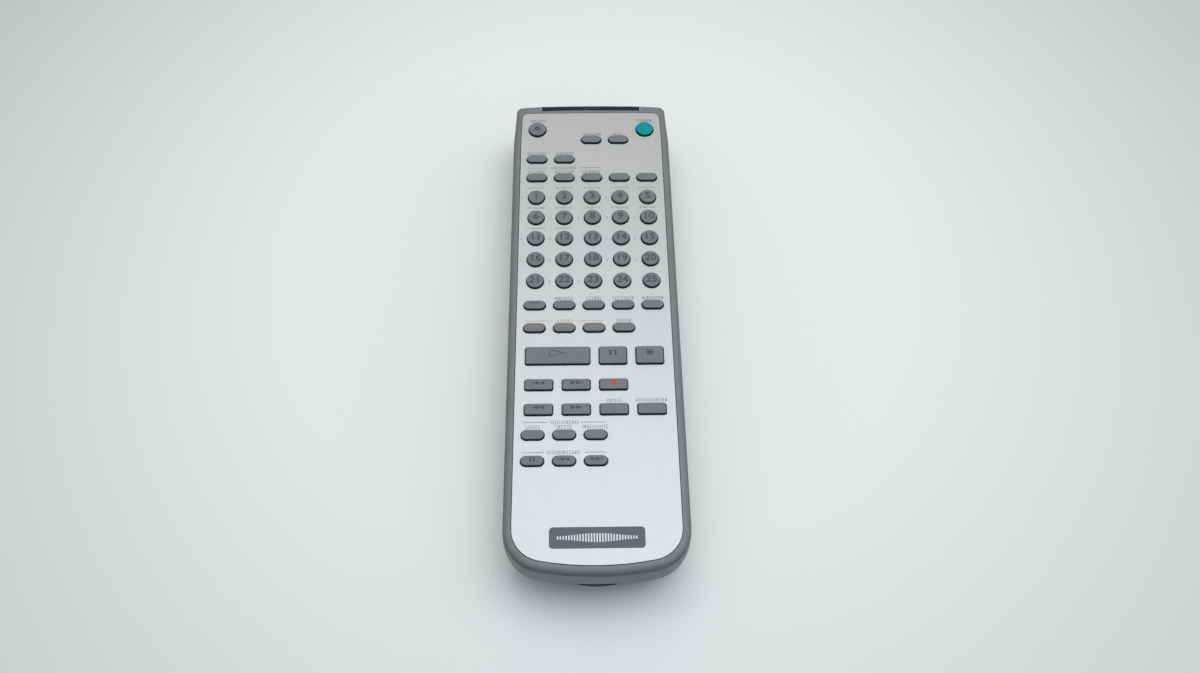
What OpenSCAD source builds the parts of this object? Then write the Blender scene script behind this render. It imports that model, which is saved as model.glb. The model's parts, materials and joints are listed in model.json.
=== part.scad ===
// Hand-held infrared remote control: a moulded case in two halves, a silver face panel,
// sixty-one keys on a rubber mat, a circuit board, and a battery bay under a hinged cover.
// Y runs along the length, with the infrared window at +Y; X is the width; Z is up.
// The origin is on the resting surface, under the middle of the body. Sizes are millimetres.

/* [Case] */
// Length of the body, from the far end to the near end
body_l = 176.6; // [172:0.2:190]
// Width of the body at its widest level
body_w = 55.6; // [55:0.2:62]
// Radius of the two corners at the near end
near_corner_r = 12.6; // [11:0.2:16]
// Radius of the shallow arc across the near end
near_arc_r = 95; // [60:1:120]
// Radius of the two corners at the far end
far_corner_r = 5; // [4.8:0.1:6]
// Radius of the shallow arc across the far end
far_arc_r = 230; // [160:1:300]
// Width of the grey rim that shows round the face panel
rim_w = 2.85; // [2.6:0.05:3.4]
// Width of the rim at the far end, with the upper face of the infrared window
far_rim_w = 4.6; // [4.4:0.05:5]
// Height of the rounded rim, down to the line where the halves meet
rim_h = 1.9; // [1.85:0.05:2.1]
// Width and height of the fine groove on each side of the line where the halves meet
seam_w = 0.25; // [0.1:0.05:0.4]
// Depth below the face down to which the body keeps its full width
bulge_t = 6; // [4:0.1:7]
// How far the long sides draw in from the widest level to the bottom
side_draft = 6; // [4:0.1:6.4]
// How far the near end draws in from the widest level to the bottom
near_draft = 13; // [11:0.1:14]
// How far the far end draws in from the widest level to the bottom
far_draft = 4; // [2:0.1:4.4]
// Thickness of the case wall
wall = 1.8; // [1.6:0.05:2.1]
// Thickness of the deck that carries the face panel
deck_t = 1.5; // [1.2:0.05:2]
// Thickness of the locating skirt under the rim
skirt_t = 0.9; // [0.7:0.05:1]
// How far the locating skirt reaches down
skirt_h = 1.4; // [1:0.1:1.6]
// Clearance between pieces of the case that fit together
fit = 0.12; // [0.08:0.01:0.2]

/* [Face panel] */
// Thickness of the face panel
panel_t = 0.5; // [0.4:0.05:0.6]
// Radius of the two far corners of the face panel
panel_corner_r = 2.2; // [1.8:0.1:3.5]
// Radius of the shallow arc across the far edge of the face panel
panel_arc_r = 450; // [300:5:600]

/* [Keys] */
// Distance from the side of the body to the middle of the outer small keys
key_side_in = 8.6; // [8.3:0.05:8.9]
// Distance from the near end of the body to the last row of keys
last_row_in = 35.2; // [35:0.1:37]
// Distance from the far end of the body to the eject and power keys
top_in = 12.5; // [12:0.1:13]
// Distance from the far end of the body to the first row of pill keys
row_a_in = 17.2; // [17:0.1:17.6]
// Distance from the far end of the body to the second row of pill keys
row_b_in = 26; // [25.8:0.1:26.4]
// Distance from the far end of the body to the row of pills over the numbers
row_c_in = 34.2; // [34:0.1:34.4]
// Distance from the far end of the body to the first row of number keys
number_in = 42.8; // [42.4:0.1:43.2]
// Step from the last row of numbers to the next row of pills, in plain row steps
block_steps = 1.097; // [1.05:0.001:1.14]
// Step from the play row to the rows on both sides of it, in plain row steps
play_steps = 1.202; // [1.15:0.001:1.25]
// Distance from the side of the body to the middle of the outer rectangular keys
wide_side_in = 10.28; // [10:0.02:10.5]
// Diameter of the holes for the eject and power keys
big_hole_d = 6.6; // [6.2:0.1:7]
// Diameter of the holes for the number keys
number_hole_d = 6.1; // [5.6:0.1:6.4]
// Width of the web between two pill holes side by side
pill_web = 2.1; // [2:0.05:2.8]
// Height of the holes for the pill keys, along the body
pill_hole_h = 3.7; // [3.4:0.1:4.2]
// Width of the web between two rectangular holes side by side
rect_web = 2.48; // [2.2:0.02:3]
// Height of the holes for the small rectangular keys, along the body
rect_hole_h = 4.25; // [3.8:0.05:4.8]
// Height of the holes in the play row, along the body
play_hole_h = 6.7; // [6:0.1:7]
// Corner radius of the rectangular holes
rect_corner_r = 0.9; // [0.6:0.05:1.2]
// Clearance between a key and its hole
key_gap = 0.22; // [0.15:0.01:0.3]
// Height of the key tops above the face panel
key_rise = 0.95; // [0.8:0.05:1.2]
// Radius of the rounded edge of a key top
key_edge = 0.4; // [0.2:0.05:0.5]
// How far a key goes down when it is pressed
key_travel = 0.95; // [0.7:0.05:1.1]
// Width of the flange that keeps a key under the deck
flange_w = 0.55; // [0.45:0.05:0.6]
// Thickness of the flange
flange_t = 0.7; // [0.5:0.05:1]
// Free height over and under the flange at the ends of its travel
flange_clear = 0.08; // [0.05:0.01:0.12]
// Clearance between a flange and its well in the rubber mat
well_gap = 0.2; // [0.15:0.01:0.22]

/* [Circuit board and window] */
// Thickness of the circuit board
board_t = 1; // [0.8:0.1:1.6]
// Gap between the locating skirt and the edges of the board and the mat
board_gap = 0.3; // [0.2:0.05:0.4]
// Width of the infrared window
window_w = 36; // [30:0.5:38]
// Thickness of the infrared window
window_t = 3; // [2.95:0.05:3.2]
// Height of the infrared window's lower edge above the resting surface
window_z = 9; // [7:0.2:11]
// Width of the flange that holds the infrared window behind the case wall
window_lip = 1.2; // [0.8:0.1:1.6]
// Diameter of the infrared emitter
emitter_d = 5; // [4.6:0.1:5.4]
// Length of the infrared emitter's body without its round tip
emitter_l = 6.2; // [5:0.1:7]

/* [Battery bay] */
// Diameter of a battery cell
cell_d = 14.2; // [13.8:0.05:14.5]
// Length of a battery cell with its end button
cell_l = 50.4; // [49.5:0.1:50.5]
// Diameter of the button at the end of a cell
button_d = 5.4; // [5:0.1:5.5]
// Height of the button at the end of a cell
button_h = 1.1; // [0.9:0.05:1.4]
// Clearance round a battery cell
cell_gap = 0.25; // [0.15:0.05:0.4]
// Length of the room for a contact spring
spring_l = 5.6; // [5:0.1:6.5]
// Thickness of the sheet-metal contacts
contact_t = 0.4; // [0.3:0.05:0.6]
// Thickness of the bay's walls
bay_wall = 1.2; // [1:0.05:1.3]
// Distance from the near end of the body to the bay
bay_in = 13.2; // [13:0.1:15]
// Distance from the side of the body to the edge of the battery cover
cover_side_in = 6.8; // [6.6:0.1:7.4]
// Thickness of the battery cover
cover_t = 1.5; // [1.3:0.05:1.7]
// How far the cover lies inside the surface of the case
cover_recess = 0.2; // [0.15:0.01:0.25]
// Clearance between the cover and the edges of its opening
cover_gap = 0.2; // [0.15:0.01:0.3]
// Thickness of the ledge that the cover lies on
ledge_t = 1.2; // [1:0.05:1.4]
// Height to which the cover turns up at the near end
cover_up = 5; // [4:0.1:6]
// Width of the latch tongue at the near end
latch_w = 11.4; // [8:0.2:14]
// Height of the latch tongue in the middle of its dished top edge
latch_h = 11.6; // [10:0.1:12]
// Gap between the corners of the latch tongue and the edge of the case
latch_gap = 0.3; // [0.2:0.05:0.5]
// Radius of the dished top edge of the latch tongue
latch_r = 14; // [12:0.5:30]
// Width of a hinge hook on the cover
hook_w = 5; // [4:0.2:6]
// Distance between the middles of the two hinge hooks
hook_span = 24; // [20:0.5:26]
// How far a hinge hook reaches in under the floor of the case
hook_l = 2.2; // [1.6:0.1:2.6]

/* [Parts on the board] */
// Length of the controller chip, across the body
chip_l = 18; // [16:0.5:20]
// Width of the controller chip
chip_w = 7.6; // [7:0.1:8]
// Thickness of the controller chip
chip_t = 2.2; // [1.8:0.1:2.4]
// Distance from the side of the body to the resonator
resonator_side_in = 9.8; // [9:0.1:11]
// Distance from the side of the body to the middle of the capacitor
capacitor_side_in = 11.8; // [11:0.1:12.5]
// Diameter of the capacitor
capacitor_d = 8; // [6:0.5:8]
// Length of the capacitor
capacitor_l = 11; // [9:0.5:11]
// Diameter of a resistor
resistor_d = 2.2; // [1.8:0.1:2.4]
// Length of a resistor
resistor_l = 6; // [5:0.5:6.5]
// Width of the sheet-metal contacts
contact_w = 9; // [8:0.5:10]

/* [Screws] */
// Distance from the side of the body to the screws
screw_side_in = 9.4; // [9.3:0.05:9.5]
// Distance from the far end of the body to the far screws
screw_far_in = 20.4; // [20:0.1:20.8]
// Distance from the near end of the body to the near screws
screw_near_in = 27.8; // [26:0.1:28.2]
// Diameter of a screw's shank
screw_d = 2.6; // [2.2:0.1:3]
// Length of a screw's shank
screw_l = 13; // [11:0.5:14]
// Diameter of a screw's head
head_d = 4.6; // [4:0.1:4.8]
// Height of a screw's head
head_h = 1.7; // [1.4:0.1:2]
// Height of the seat under a screw's head
seat_z = 4.4; // [4.2:0.1:5]
// Radius of the bosses in the lower case
boss_r = 3.3; // [3.1:0.05:3.4]
// Radius of the bosses that come down from the deck
post_r = 2.3; // [2:0.05:2.4]
// Height where the bosses of the two halves meet
boss_z = 12; // [10:0.2:14]

/* [Hidden] */
$fn = 48;
eps = 0.02;

// Heights, stacked up from the battery cover
ledge_in = cover_recess + cover_t + 0.05;
cell_z = ledge_in + cell_gap + cell_d / 2;
roof_z = cell_z + cell_d / 2 + cell_gap;
board_z = roof_z + bay_wall;
mat_z = board_z + board_t;
mat_t = key_travel + flange_t + 2 * flange_clear;
deck_z = mat_z + mat_t;
panel_z = deck_z + deck_t;
face_z = panel_z + panel_t;
part_z = face_z - rim_h;
top_z = face_z + key_rise;
flange_z = deck_z - flange_clear - flange_t;

// Ends of the body, rows and columns of keys
far_y = body_l / 2;
near_y = -body_l / 2;
key_pitch = (body_w - 2 * key_side_in) / 4;
wide_pitch = (body_w - 2 * wide_side_in) / 3;
row_pitch = (body_l - number_in - last_row_in) / (8 + block_steps + 2 * play_steps);
block_pitch = block_steps * row_pitch;
play_pitch = play_steps * row_pitch;
pill_hole_w = key_pitch - pill_web;
rect_hole_w = wide_pitch - rect_web;
row_top = far_y - top_in;
row_a = far_y - row_a_in;
row_b = far_y - row_b_in;
row_c = far_y - row_c_in;
row_num = far_y - number_in;
row_d = row_num - 4 * row_pitch - block_pitch;
row_e = row_d - row_pitch;
row_play = row_e - play_pitch;
row_rec = row_play - play_pitch;
row_wind = row_rec - row_pitch;
row_f = row_wind - row_pitch;
row_g = row_f - row_pitch;
function col(c) = (c - 3) * key_pitch;
function wide(c) = (c - 2.5) * wide_pitch;

// Pill keys as [column, row]
PILLS = [
    [3, row_a], [4, row_a], [1, row_b], [2, row_b],
    for (c = [1:5]) [c, row_c],
    for (c = [1:5]) [c, row_d],
    for (c = [1:4]) [c, row_e],
    for (c = [1:3]) [c, row_f],
    for (c = [1:3]) [c, row_g]
];
// Rectangular keys as [x, row, hole width, hole height]
play_hole_w = wide_pitch + rect_hole_w;
RECTS = [
    [wide(1.5), row_play, play_hole_w, play_hole_h],
    [wide(3), row_play, rect_hole_w, play_hole_h],
    [wide(4), row_play, rect_hole_w, play_hole_h],
    for (c = [1:3]) [wide(c), row_rec, rect_hole_w, rect_hole_h],
    for (c = [1:4]) [wide(c), row_wind, rect_hole_w, rect_hole_h]
];

// Battery bay
cell_x = cell_d / 2 + cell_gap;
bay_w = 2 * (cell_x + cell_d / 2 + cell_gap);
bay_y0 = near_y + bay_in;
bay_l = cell_l + spring_l + 2 * contact_t + 0.1;
bay_y1 = bay_y0 + bay_l;
cover_w = body_w - 2 * cover_side_in;
cover_y1 = bay_y1 + bay_wall + 4;
hinge_y = cover_y1 + cover_gap;

// Height of the corners of the latch tongue
latch_top = latch_h + latch_r - sqrt(pow(latch_r, 2) - pow(latch_w / 2, 2));

// Screws as [x, y]
screw_span = body_w - 2 * screw_side_in;
SCREWS = [
    for (s = [-1, 1]) [s * screw_span / 2, far_y - screw_far_in],
    for (s = [-1, 1]) [s * screw_span / 2, near_y + screw_near_in]
];

// ---- Outline of the body ----

function arc(cx, cy, r, a0, a1, n, first, last) =
    [for (i = [first:n - last]) let (a = a0 + (a1 - a0) * i / n) [cx + r * cos(a), cy + r * sin(a)]];

// Closed outline with straight sides: half width w, ends at yn and yf, end arcs rn and rf,
// and corner radii cn and cf that run into the sides and the end arcs without a kink.
function outline(w, yn, yf, rn, rf, cn, cf) =
    let (
        xn = w - cn,
        xf = w - cf,
        on = yn + rn,
        of = yf - rf,
        kn = on - sqrt(pow(rn - cn, 2) - xn * xn),
        kf = of + sqrt(pow(rf - cf, 2) - xf * xf),
        an = atan2(kn - on, xn),
        af = atan2(kf - of, xf)
    )
    concat(
        arc(xn, kn, cn, an, 0, 8, 0, 0),
        arc(xf, kf, cf, 0, af, 5, 0, 0),
        arc(0, of, rf, af, 180 - af, 6, 1, 1),
        arc(-xf, kf, cf, 180 - af, 180, 5, 0, 0),
        arc(-xn, kn, cn, 180, 180 - an, 8, 0, 0),
        arc(0, on, rn, 180 - an, 360 + an, 8, 1, 1)
    );

// Outline of the body drawn in by ds at the sides, dn at the near end and df at the far end
function body_outline(ds, dn, df) =
    outline(body_w / 2 - ds, near_y + dn, far_y - df, near_arc_r - dn, far_arc_r - df,
        near_corner_r - ds * 0.6, far_corner_r - df * 0.8);

function even_outline(d) = body_outline(d, d, d);

function panel_outline(grow) =
    outline(body_w / 2 - rim_w + grow, near_y + rim_w - grow, far_y - far_rim_w + grow,
        near_arc_r - rim_w + grow, panel_arc_r + grow,
        near_corner_r - rim_w + grow, panel_corner_r + grow);

// ---- Moulded form of the lower half ----

// How quickly the walls turn in towards the bottom
turn = 3;
// Share of the way from the widest level to the bottom, at depth t below the face
function drop(t) = max(0, (t - bulge_t) / (face_z - bulge_t));
// Small step back above the widest level
function shoulder(t) = 0.15 * pow(max(0, (bulge_t - t) / (bulge_t - rim_h)), 2);
// How far the surface lies inside the widest outline at depth t, for a full draft of k,
// and for a copy of the surface that lies e inside it
function drawn_in(t, k, e) =
    shoulder(t) + k * pow(drop(t), turn)
    + e * sqrt(1 + pow(turn * k * pow(drop(t), turn - 1) / (face_z - bulge_t), 2));
function ring(t, e) =
    let (o = body_outline(drawn_in(t, side_draft, e), drawn_in(t, near_draft, e),
            drawn_in(t, far_draft, e)))
    [for (p = o) [p[0], p[1], face_z - t]];

// Solid through a list of rings with equal counts, listed from the top down
module loft(rings) {
    n = len(rings[0]);
    m = len(rings);
    points = [for (r = rings) each r];
    faces = [
        [for (i = [n - 1:-1:0]) i],
        for (k = [0:m - 2]) for (i = [0:n - 1]) let (j = (i + 1) % n)
            each [
                [k * n + i, k * n + j, (k + 1) * n + i],
                [k * n + j, (k + 1) * n + j, (k + 1) * n + i]
            ],
        [for (i = [0:n - 1]) (m - 1) * n + i]
    ];
    polyhedron(points = points, faces = faces);
}

// The lower half's form drawn in by e; raised opens it upwards for use as a cavity
module lower_form(e = 0, raised = 0, steps = 7) {
    depth = face_z - e;
    loft([
        if (raised > 0) [for (p = ring(rim_h, e)) [p[0], p[1], p[2] + raised]],
        if (raised == 0) [for (p = ring(rim_h, e + seam_w)) [p[0], p[1], p[2]]],
        ring(rim_h + (raised > 0 ? 0 : seam_w), e),
        for (k = [0:steps]) ring(bulge_t + (depth - bulge_t) * k / steps, e)
    ]);
}

// ---- Holes and keys ----

module stadium(w, h) {
    square([w - h, h], center = true);
    for (s = [-1, 1]) translate([s * (w - h) / 2, 0]) circle(d = h);
}

module rounded_rect(w, h, r) {
    square([w, h - 2 * r], center = true);
    square([w - 2 * r, h], center = true);
    for (x = [-1, 1], y = [-1, 1])
        translate([x * (w / 2 - r), y * (h / 2 - r)]) circle(r = r);
}

// Every key hole, made larger by grow on each side
module key_holes(grow = 0) {
    for (s = [-1, 1])
        translate([s * 2 * key_pitch, row_top]) circle(d = big_hole_d + 2 * grow);
    for (c = [1:5], k = [0:4])
        translate([col(c), row_num - k * row_pitch]) circle(d = number_hole_d + 2 * grow);
    for (p = PILLS)
        translate([col(p[0]), p[1]]) stadium(pill_hole_w + 2 * grow, pill_hole_h + 2 * grow);
    for (q = RECTS)
        translate([q[0], q[1]])
            rounded_rect(q[2] + 2 * grow, q[3] + 2 * grow, rect_corner_r + grow);
}

// Half section of a key of radius r, with its flange and rounded top edge
function key_section(r) = concat(
    [[0, flange_z], [r + flange_w, flange_z], [r + flange_w, flange_z + flange_t],
        [r, flange_z + flange_t]],
    [for (a = [0:22.5:90]) [r - key_edge + key_edge * cos(a), top_z - key_edge + key_edge * sin(a)]],
    [[0, top_z]]
);

module round_key(hole_d, x, y) {
    translate([x, y, 0]) rotate_extrude() polygon(key_section(hole_d / 2 - key_gap));
}

module pill_key(c, y) {
    r = pill_hole_h / 2 - key_gap;
    half = (pill_hole_w - pill_hole_h) / 2;
    color("#7e8082") translate([col(c), y, 0]) {
        for (s = [0, 180])
            rotate([0, 0, s - 90]) translate([0, half, 0]) rotate_extrude(angle = 180)
                polygon(key_section(r));
        rotate([90, 0, 90]) linear_extrude(2 * half, center = true) {
            polygon(key_section(r));
            mirror([1, 0]) polygon(key_section(r));
        }
    }
}

// Outline of a rectangular key seen from the side, with rounded top corners
module key_profile(w) {
    polygon(concat(
        [[-w / 2, flange_z], [w / 2, flange_z]],
        [for (a = [0:22.5:90]) [w / 2 - key_edge + key_edge * cos(a), top_z - key_edge + key_edge * sin(a)]],
        [for (a = [90:22.5:180]) [-w / 2 + key_edge + key_edge * cos(a), top_z - key_edge + key_edge * sin(a)]]
    ));
}

module rect_key(q) {
    w = q[2] - 2 * key_gap;
    h = q[3] - 2 * key_gap;
    r = rect_corner_r - key_gap;
    color("#7e8082") translate([q[0], q[1], 0]) {
        intersection() {
            translate([0, 0, flange_z]) linear_extrude(top_z - flange_z + 1) rounded_rect(w, h, r);
            rotate([90, 0, 0]) linear_extrude(h + 2, center = true) key_profile(w);
            rotate([90, 0, 90]) linear_extrude(w + 2, center = true) key_profile(h);
        }
        translate([0, 0, flange_z]) linear_extrude(flange_t)
            rounded_rect(w + 2 * flange_w, h + 2 * flange_w, r + flange_w);
    }
}

module number_keys(k) {
    color("#7e8082") for (c = [1:5]) round_key(number_hole_d, col(c), row_num - k * row_pitch);
}

module key_eject() {
    color("#7e8082") round_key(big_hole_d, -2 * key_pitch, row_top);
}

module key_power() {
    color("#00a09b") round_key(big_hole_d, 2 * key_pitch, row_top);
}

// ---- Infrared window, a curved plate that follows the far end ----

// Inner face of the window's lower part and its lip, behind the drawn-in far wall
window_back = drawn_in(face_z - window_z + window_lip, far_draft, wall) + fit;
window_step_z = deck_z - skirt_h - 0.6;
window_a = asin(window_w / 2 / far_arc_r);
lip_a = asin((window_w / 2 + window_lip) / far_arc_r);
lip_t = 1;
// How much the lip's ends fall back behind its middle
lip_sag = far_arc_r - sqrt(pow(far_arc_r, 2) - pow(window_w / 2 + window_lip, 2));
// The rim is a quarter of an ellipse, flatter at the far end:
// how far it lies in, and how deep, at angle a
far_turn = 1.5;
function rim_in(a) = 0.15 + (rim_w - 0.35) * (1 - cos(a));
function far_rim_in(a) = 0.15 + (far_rim_w - 0.35) * pow(1 - cos(a), far_turn);
function rim_depth(a) = rim_h - (rim_h - 0.1) * sin(a);
window_top_a = acos(1 - pow((window_t - 0.15) / (far_rim_w - 0.35), 1 / far_turn));

module swept(a, points) {
    translate([0, far_y - far_arc_r, 0]) rotate([0, 0, 90 - a])
        rotate_extrude(angle = 2 * a, $fn = 360) polygon([for (p = points) [far_arc_r - p[0], p[1]]]);
}

// Points as [distance in from the far end's arc, height]
module window_plate() {
    swept(window_a, concat(
        [[window_back + 0.1, window_z]],
        [for (k = [0:3]) let (t = face_z - window_z + (bulge_t - face_z + window_z) * k / 3)
            [drawn_in(t, far_draft, 0), face_z - t]],
        [for (k = [0:5]) let (a = window_top_a * k / 5) [far_rim_in(a), face_z - rim_depth(a)]],
        [[window_t, window_step_z], [window_back + 0.1, window_step_z]]
    ));
}

// Room for the window in both halves of the case
module window_cut() {
    swept(window_a + asin(fit / far_arc_r), [
        [window_back + 0.1, window_z - fit], [-1, window_z - fit], [-1, face_z + 1],
        [window_t + fit, face_z + 1], [window_t + fit, window_step_z + fit],
        [window_back + 0.1, window_step_z + fit]
    ]);
}

module ir_window() {
    color("#2d3e41") {
        window_plate();
        swept(lip_a, [
            [window_back + lip_t, window_z - window_lip], [window_back, window_z - window_lip],
            [window_back, window_step_z], [window_back + lip_t, window_step_z]
        ]);
    }
}

// ---- Upper case ----

module upper_case() {
    color("#7c8080") difference() {
        union() {
            difference() {
                loft([
                    for (k = [6:-1:1]) let (a = 15 * k)
                        [for (p = body_outline(rim_in(a), rim_in(a), far_rim_in(a)))
                            [p[0], p[1], face_z - rim_depth(a)]],
                    [for (p = even_outline(0.15)) [p[0], p[1], part_z + seam_w]],
                    [for (p = even_outline(0.15 + seam_w)) [p[0], p[1], part_z]]
                ]);
                translate([0, 0, part_z - 1]) linear_extrude(rim_h + 2) polygon(panel_outline(fit));
            }
            translate([0, 0, deck_z]) linear_extrude(deck_t) difference() {
                polygon(panel_outline(0.6));
                key_holes();
            }
            translate([0, 0, deck_z - skirt_h]) linear_extrude(skirt_h + 0.5) difference() {
                polygon(even_outline(0.15 + wall + fit));
                polygon(even_outline(0.15 + wall + fit + skirt_t));
            }
            for (s = SCREWS)
                translate([s[0], s[1], boss_z]) cylinder(r = post_r, h = deck_z - boss_z + eps);
        }
        window_cut();
        for (s = SCREWS)
            translate([s[0], s[1], boss_z - 1])
                cylinder(d = screw_d + 0.04, h = seat_z + screw_l + 0.5 - boss_z + 1);
    }
}

module face_panel() {
    color("#c9ced1") translate([0, 0, panel_z]) linear_extrude(panel_t) difference() {
        polygon(panel_outline(0));
        key_holes();
    }
}

// ---- Mat and board ----

board_in = 0.15 + wall + fit + skirt_t + board_gap;

module board_outline() {
    difference() {
        polygon(even_outline(board_in));
        for (s = SCREWS) translate([s[0], s[1]]) circle(r = post_r + 0.2);
        // Room behind the infrared window
        translate([0, far_y]) square(
            [window_w + 2 * window_lip + 1, 2 * (window_back + lip_t + lip_sag + 0.3)], center = true);
    }
}

module keypad_mat() {
    color("#4a4d50") translate([0, 0, mat_z]) linear_extrude(mat_t) difference() {
        board_outline();
        key_holes(flange_w + well_gap - key_gap);
    }
}

module circuit_board() {
    color("#5d7a4a") translate([0, 0, board_z]) linear_extrude(board_t) board_outline();
}

// ---- Lower case ----

// Outline of the battery cover seen from below, as an upright block with the latch tongue
module cover_block(grow, top, dished = false) {
    translate([-cover_w / 2 - grow, near_y - 5, -1])
        cube([cover_w + 2 * grow, cover_y1 - near_y + 5 + grow, cover_up + grow + 1]);
    translate([0, near_y + near_draft, 0]) rotate([90, 0, 0]) linear_extrude(near_draft + 5) difference() {
        translate([-latch_w / 2 - grow, -1]) square([latch_w + 2 * grow, latch_top + top + 1]);
        if (dished) translate([0, latch_h + latch_r]) circle(r = latch_r, $fn = 120);
    }
}

module hook_places() {
    for (s = [-1, 1]) translate([s * hook_span / 2, cover_y1, 0]) children();
}

module lower_case() {
    color("#777b7b") difference() {
        union() {
            difference() {
                lower_form();
                difference() {
                    lower_form(wall, 1);
                    cover_block(1.5, 1.5);
                }
                intersection() {
                    lower_form(ledge_in + ledge_t, 1);
                    cover_block(1.5, 1.5);
                }
            }
            // Walls and roof of the battery bay
            intersection() {
                lower_form(0.6, 1);
                translate([-bay_w / 2 - bay_wall, bay_y0 - bay_wall, 0])
                    cube([bay_w + 2 * bay_wall, bay_l + 2 * bay_wall, board_z]);
            }
            // Screw bosses
            for (s = SCREWS) translate([s[0], s[1], wall - 0.5])
                cylinder(r = boss_r, h = boss_z - wall + 0.5);
            // Posts under the far part of the board
            for (x = [-1, 1], y = [row_b, row_num - 3 * row_pitch])
                translate([x * 12, y, wall - 0.5]) cylinder(r = 1.5, h = board_z - wall + 0.5);
        }
        // Opening for the cover, down to the ledge
        difference() {
            cover_block(cover_gap, latch_gap);
            lower_form(ledge_in, 1);
        }
        // Dark slot behind the finger gap
        translate([-latch_w / 2 + 1, near_y - 1, latch_h + 0.4])
            cube([latch_w - 2, ledge_in + ledge_t + 3, latch_top - latch_h - 0.4 + latch_gap]);
        // The bay
        translate([-bay_w / 2, bay_y0, -1]) cube([bay_w, bay_l, roof_z + 1]);
        // Slots for the hinge hooks
        hook_places() translate([-hook_w / 2 - cover_gap, -3.9, wall])
            cube([hook_w + 2 * cover_gap, 3.9 + hook_l + 0.5, ledge_t + 2.5]);
        hook_places() translate([-hook_w / 2 - cover_gap, -3.9, 0])
            cube([hook_w + 2 * cover_gap, 3.9 + cover_gap, ledge_t + 2.5]);
        // Slots for the contacts' legs
        for (s = [-1, 1]) translate([s * cell_x - 1.7, bay_y1 - 0.8, roof_z - 0.5])
            cube([3.4, 0.8, bay_wall + 1]);
        for (s = SCREWS) translate([s[0], s[1], -1]) {
            cylinder(r = screw_d / 2 + 0.2, h = boss_z + 2);
            cylinder(d = head_d + 0.6, h = seat_z + 1);
        }
        window_cut();
    }
}

module battery_cover() {
    color("#777b7b") {
        intersection() {
            difference() {
                lower_form(cover_recess);
                lower_form(cover_recess + cover_t);
            }
            cover_block(0, 0, true);
        }
        hook_places() {
            translate([-hook_w / 2, -1.6, cover_recess + 0.2]) cube([hook_w, 1.6, wall + 1.2]);
            translate([-hook_w / 2, -1.6, wall + 0.2]) cube([hook_w, 1.6 + hook_l, 1.2]);
        }
    }
}

// ---- Battery cells and contacts ----

// A cell with its button towards +Y when s is 1, touching the far or the near contact
module cell(s) {
    y = s > 0 ? bay_y1 - contact_t - 0.05 : bay_y0 + contact_t + 0.05;
    color("#33363b") translate([s * cell_x, y, cell_z]) rotate([s > 0 ? 90 : -90, 0, 0]) {
        cylinder(d = button_d, h = button_h + eps);
        translate([0, 0, button_h]) rotate_extrude() polygon([
            [0, 0], [cell_d / 2 - 0.6, 0], [cell_d / 2, 0.6], [cell_d / 2, cell_l - button_h - 0.4],
            [cell_d / 2 - 0.4, cell_l - button_h], [0, cell_l - button_h]
        ]);
    }
}

// Conical spring: one wire of 6 sides on a helix that narrows from r0 to r1 over length l
module spring(r0, r1, l, turns = 4, wire = 0.6) {
    n = turns * 14;
    function centre(i) = let (u = i / n, a = i * 360 * turns / n, r = r0 + (r1 - r0) * u)
        [r * cos(a), r * sin(a), wire / 2 + (l - wire) * u];
    points = [for (i = [0:n]) let (a = i * 360 * turns / n, c = centre(i))
        for (k = [0:5]) c + wire / 2 * [cos(60 * k) * cos(a), cos(60 * k) * sin(a), sin(60 * k)]];
    faces = concat(
        [[for (k = [5:-1:0]) k]],
        [for (i = [0:n - 1]) for (k = [0:5]) let (p = i * 6 + k, q = i * 6 + (k + 1) % 6)
            each [[p, q, p + 6], [q, q + 6, p + 6]]],
        [[for (k = [0:5]) n * 6 + k]]
    );
    polyhedron(points = points, faces = faces);
}

contact_h = 9;

module spring_contact() {
    color("#b9bcc0") translate([-cell_x, bay_y1, 0]) {
        translate([-contact_w / 2, -contact_t, cell_z - contact_h / 2]) cube([contact_w, contact_t, contact_h]);
        translate([-1.4, -contact_t, cell_z]) cube([2.8, contact_t, board_z - cell_z]);
        translate([0, -contact_t + 0.1, cell_z]) rotate([90, 0, 0]) spring(4, 2.4, spring_l);
    }
}

module plate_contact() {
    color("#b9bcc0") translate([cell_x, bay_y1, 0]) {
        translate([-contact_w / 2, -contact_t, cell_z - contact_h / 2]) cube([contact_w, contact_t, contact_h]);
        translate([-1.4, -contact_t, cell_z]) cube([2.8, contact_t, board_z - cell_z]);
    }
}

module link_contact() {
    color("#b9bcc0") translate([0, bay_y0, cell_z]) {
        translate([-cell_x - contact_w / 2, 0, -contact_h / 2])
            cube([2 * cell_x + contact_w, contact_t, contact_h]);
        translate([cell_x, contact_t - 0.1, 0]) rotate([-90, 0, 0]) spring(4, 2.4, spring_l);
    }
}

// ---- Parts on the board ----

emitter_y = far_y - window_back - lip_t - 1;

// Emitter with a round tip, a collar and two legs bent up into the board
module ir_emitter() {
    z = board_z - emitter_d / 2 - 1.2;
    tip = emitter_d / 2;
    color("#6a7fa0") {
        translate([0, emitter_y - tip, z]) rotate([90, 0, 0]) rotate_extrude() polygon(concat(
            [[0, emitter_l], [tip + 0.4, emitter_l], [tip + 0.4, emitter_l - 1], [tip, emitter_l - 1]],
            [for (a = [0:15:90]) [tip * cos(a), -tip * sin(a)]]
        ));
        for (s = [-1, 1]) {
            translate([s * 1.27 - 0.25, emitter_y - tip - emitter_l - 2.5, z - 0.25])
                cube([0.5, 2.5 + eps, 0.5]);
            translate([s * 1.27 - 0.25, emitter_y - tip - emitter_l - 2.5, z - 0.25])
                cube([0.5, 0.5, board_z - z + 0.25]);
        }
    }
}

lead_pitch = (chip_l - 1.5) / 13;

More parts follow.
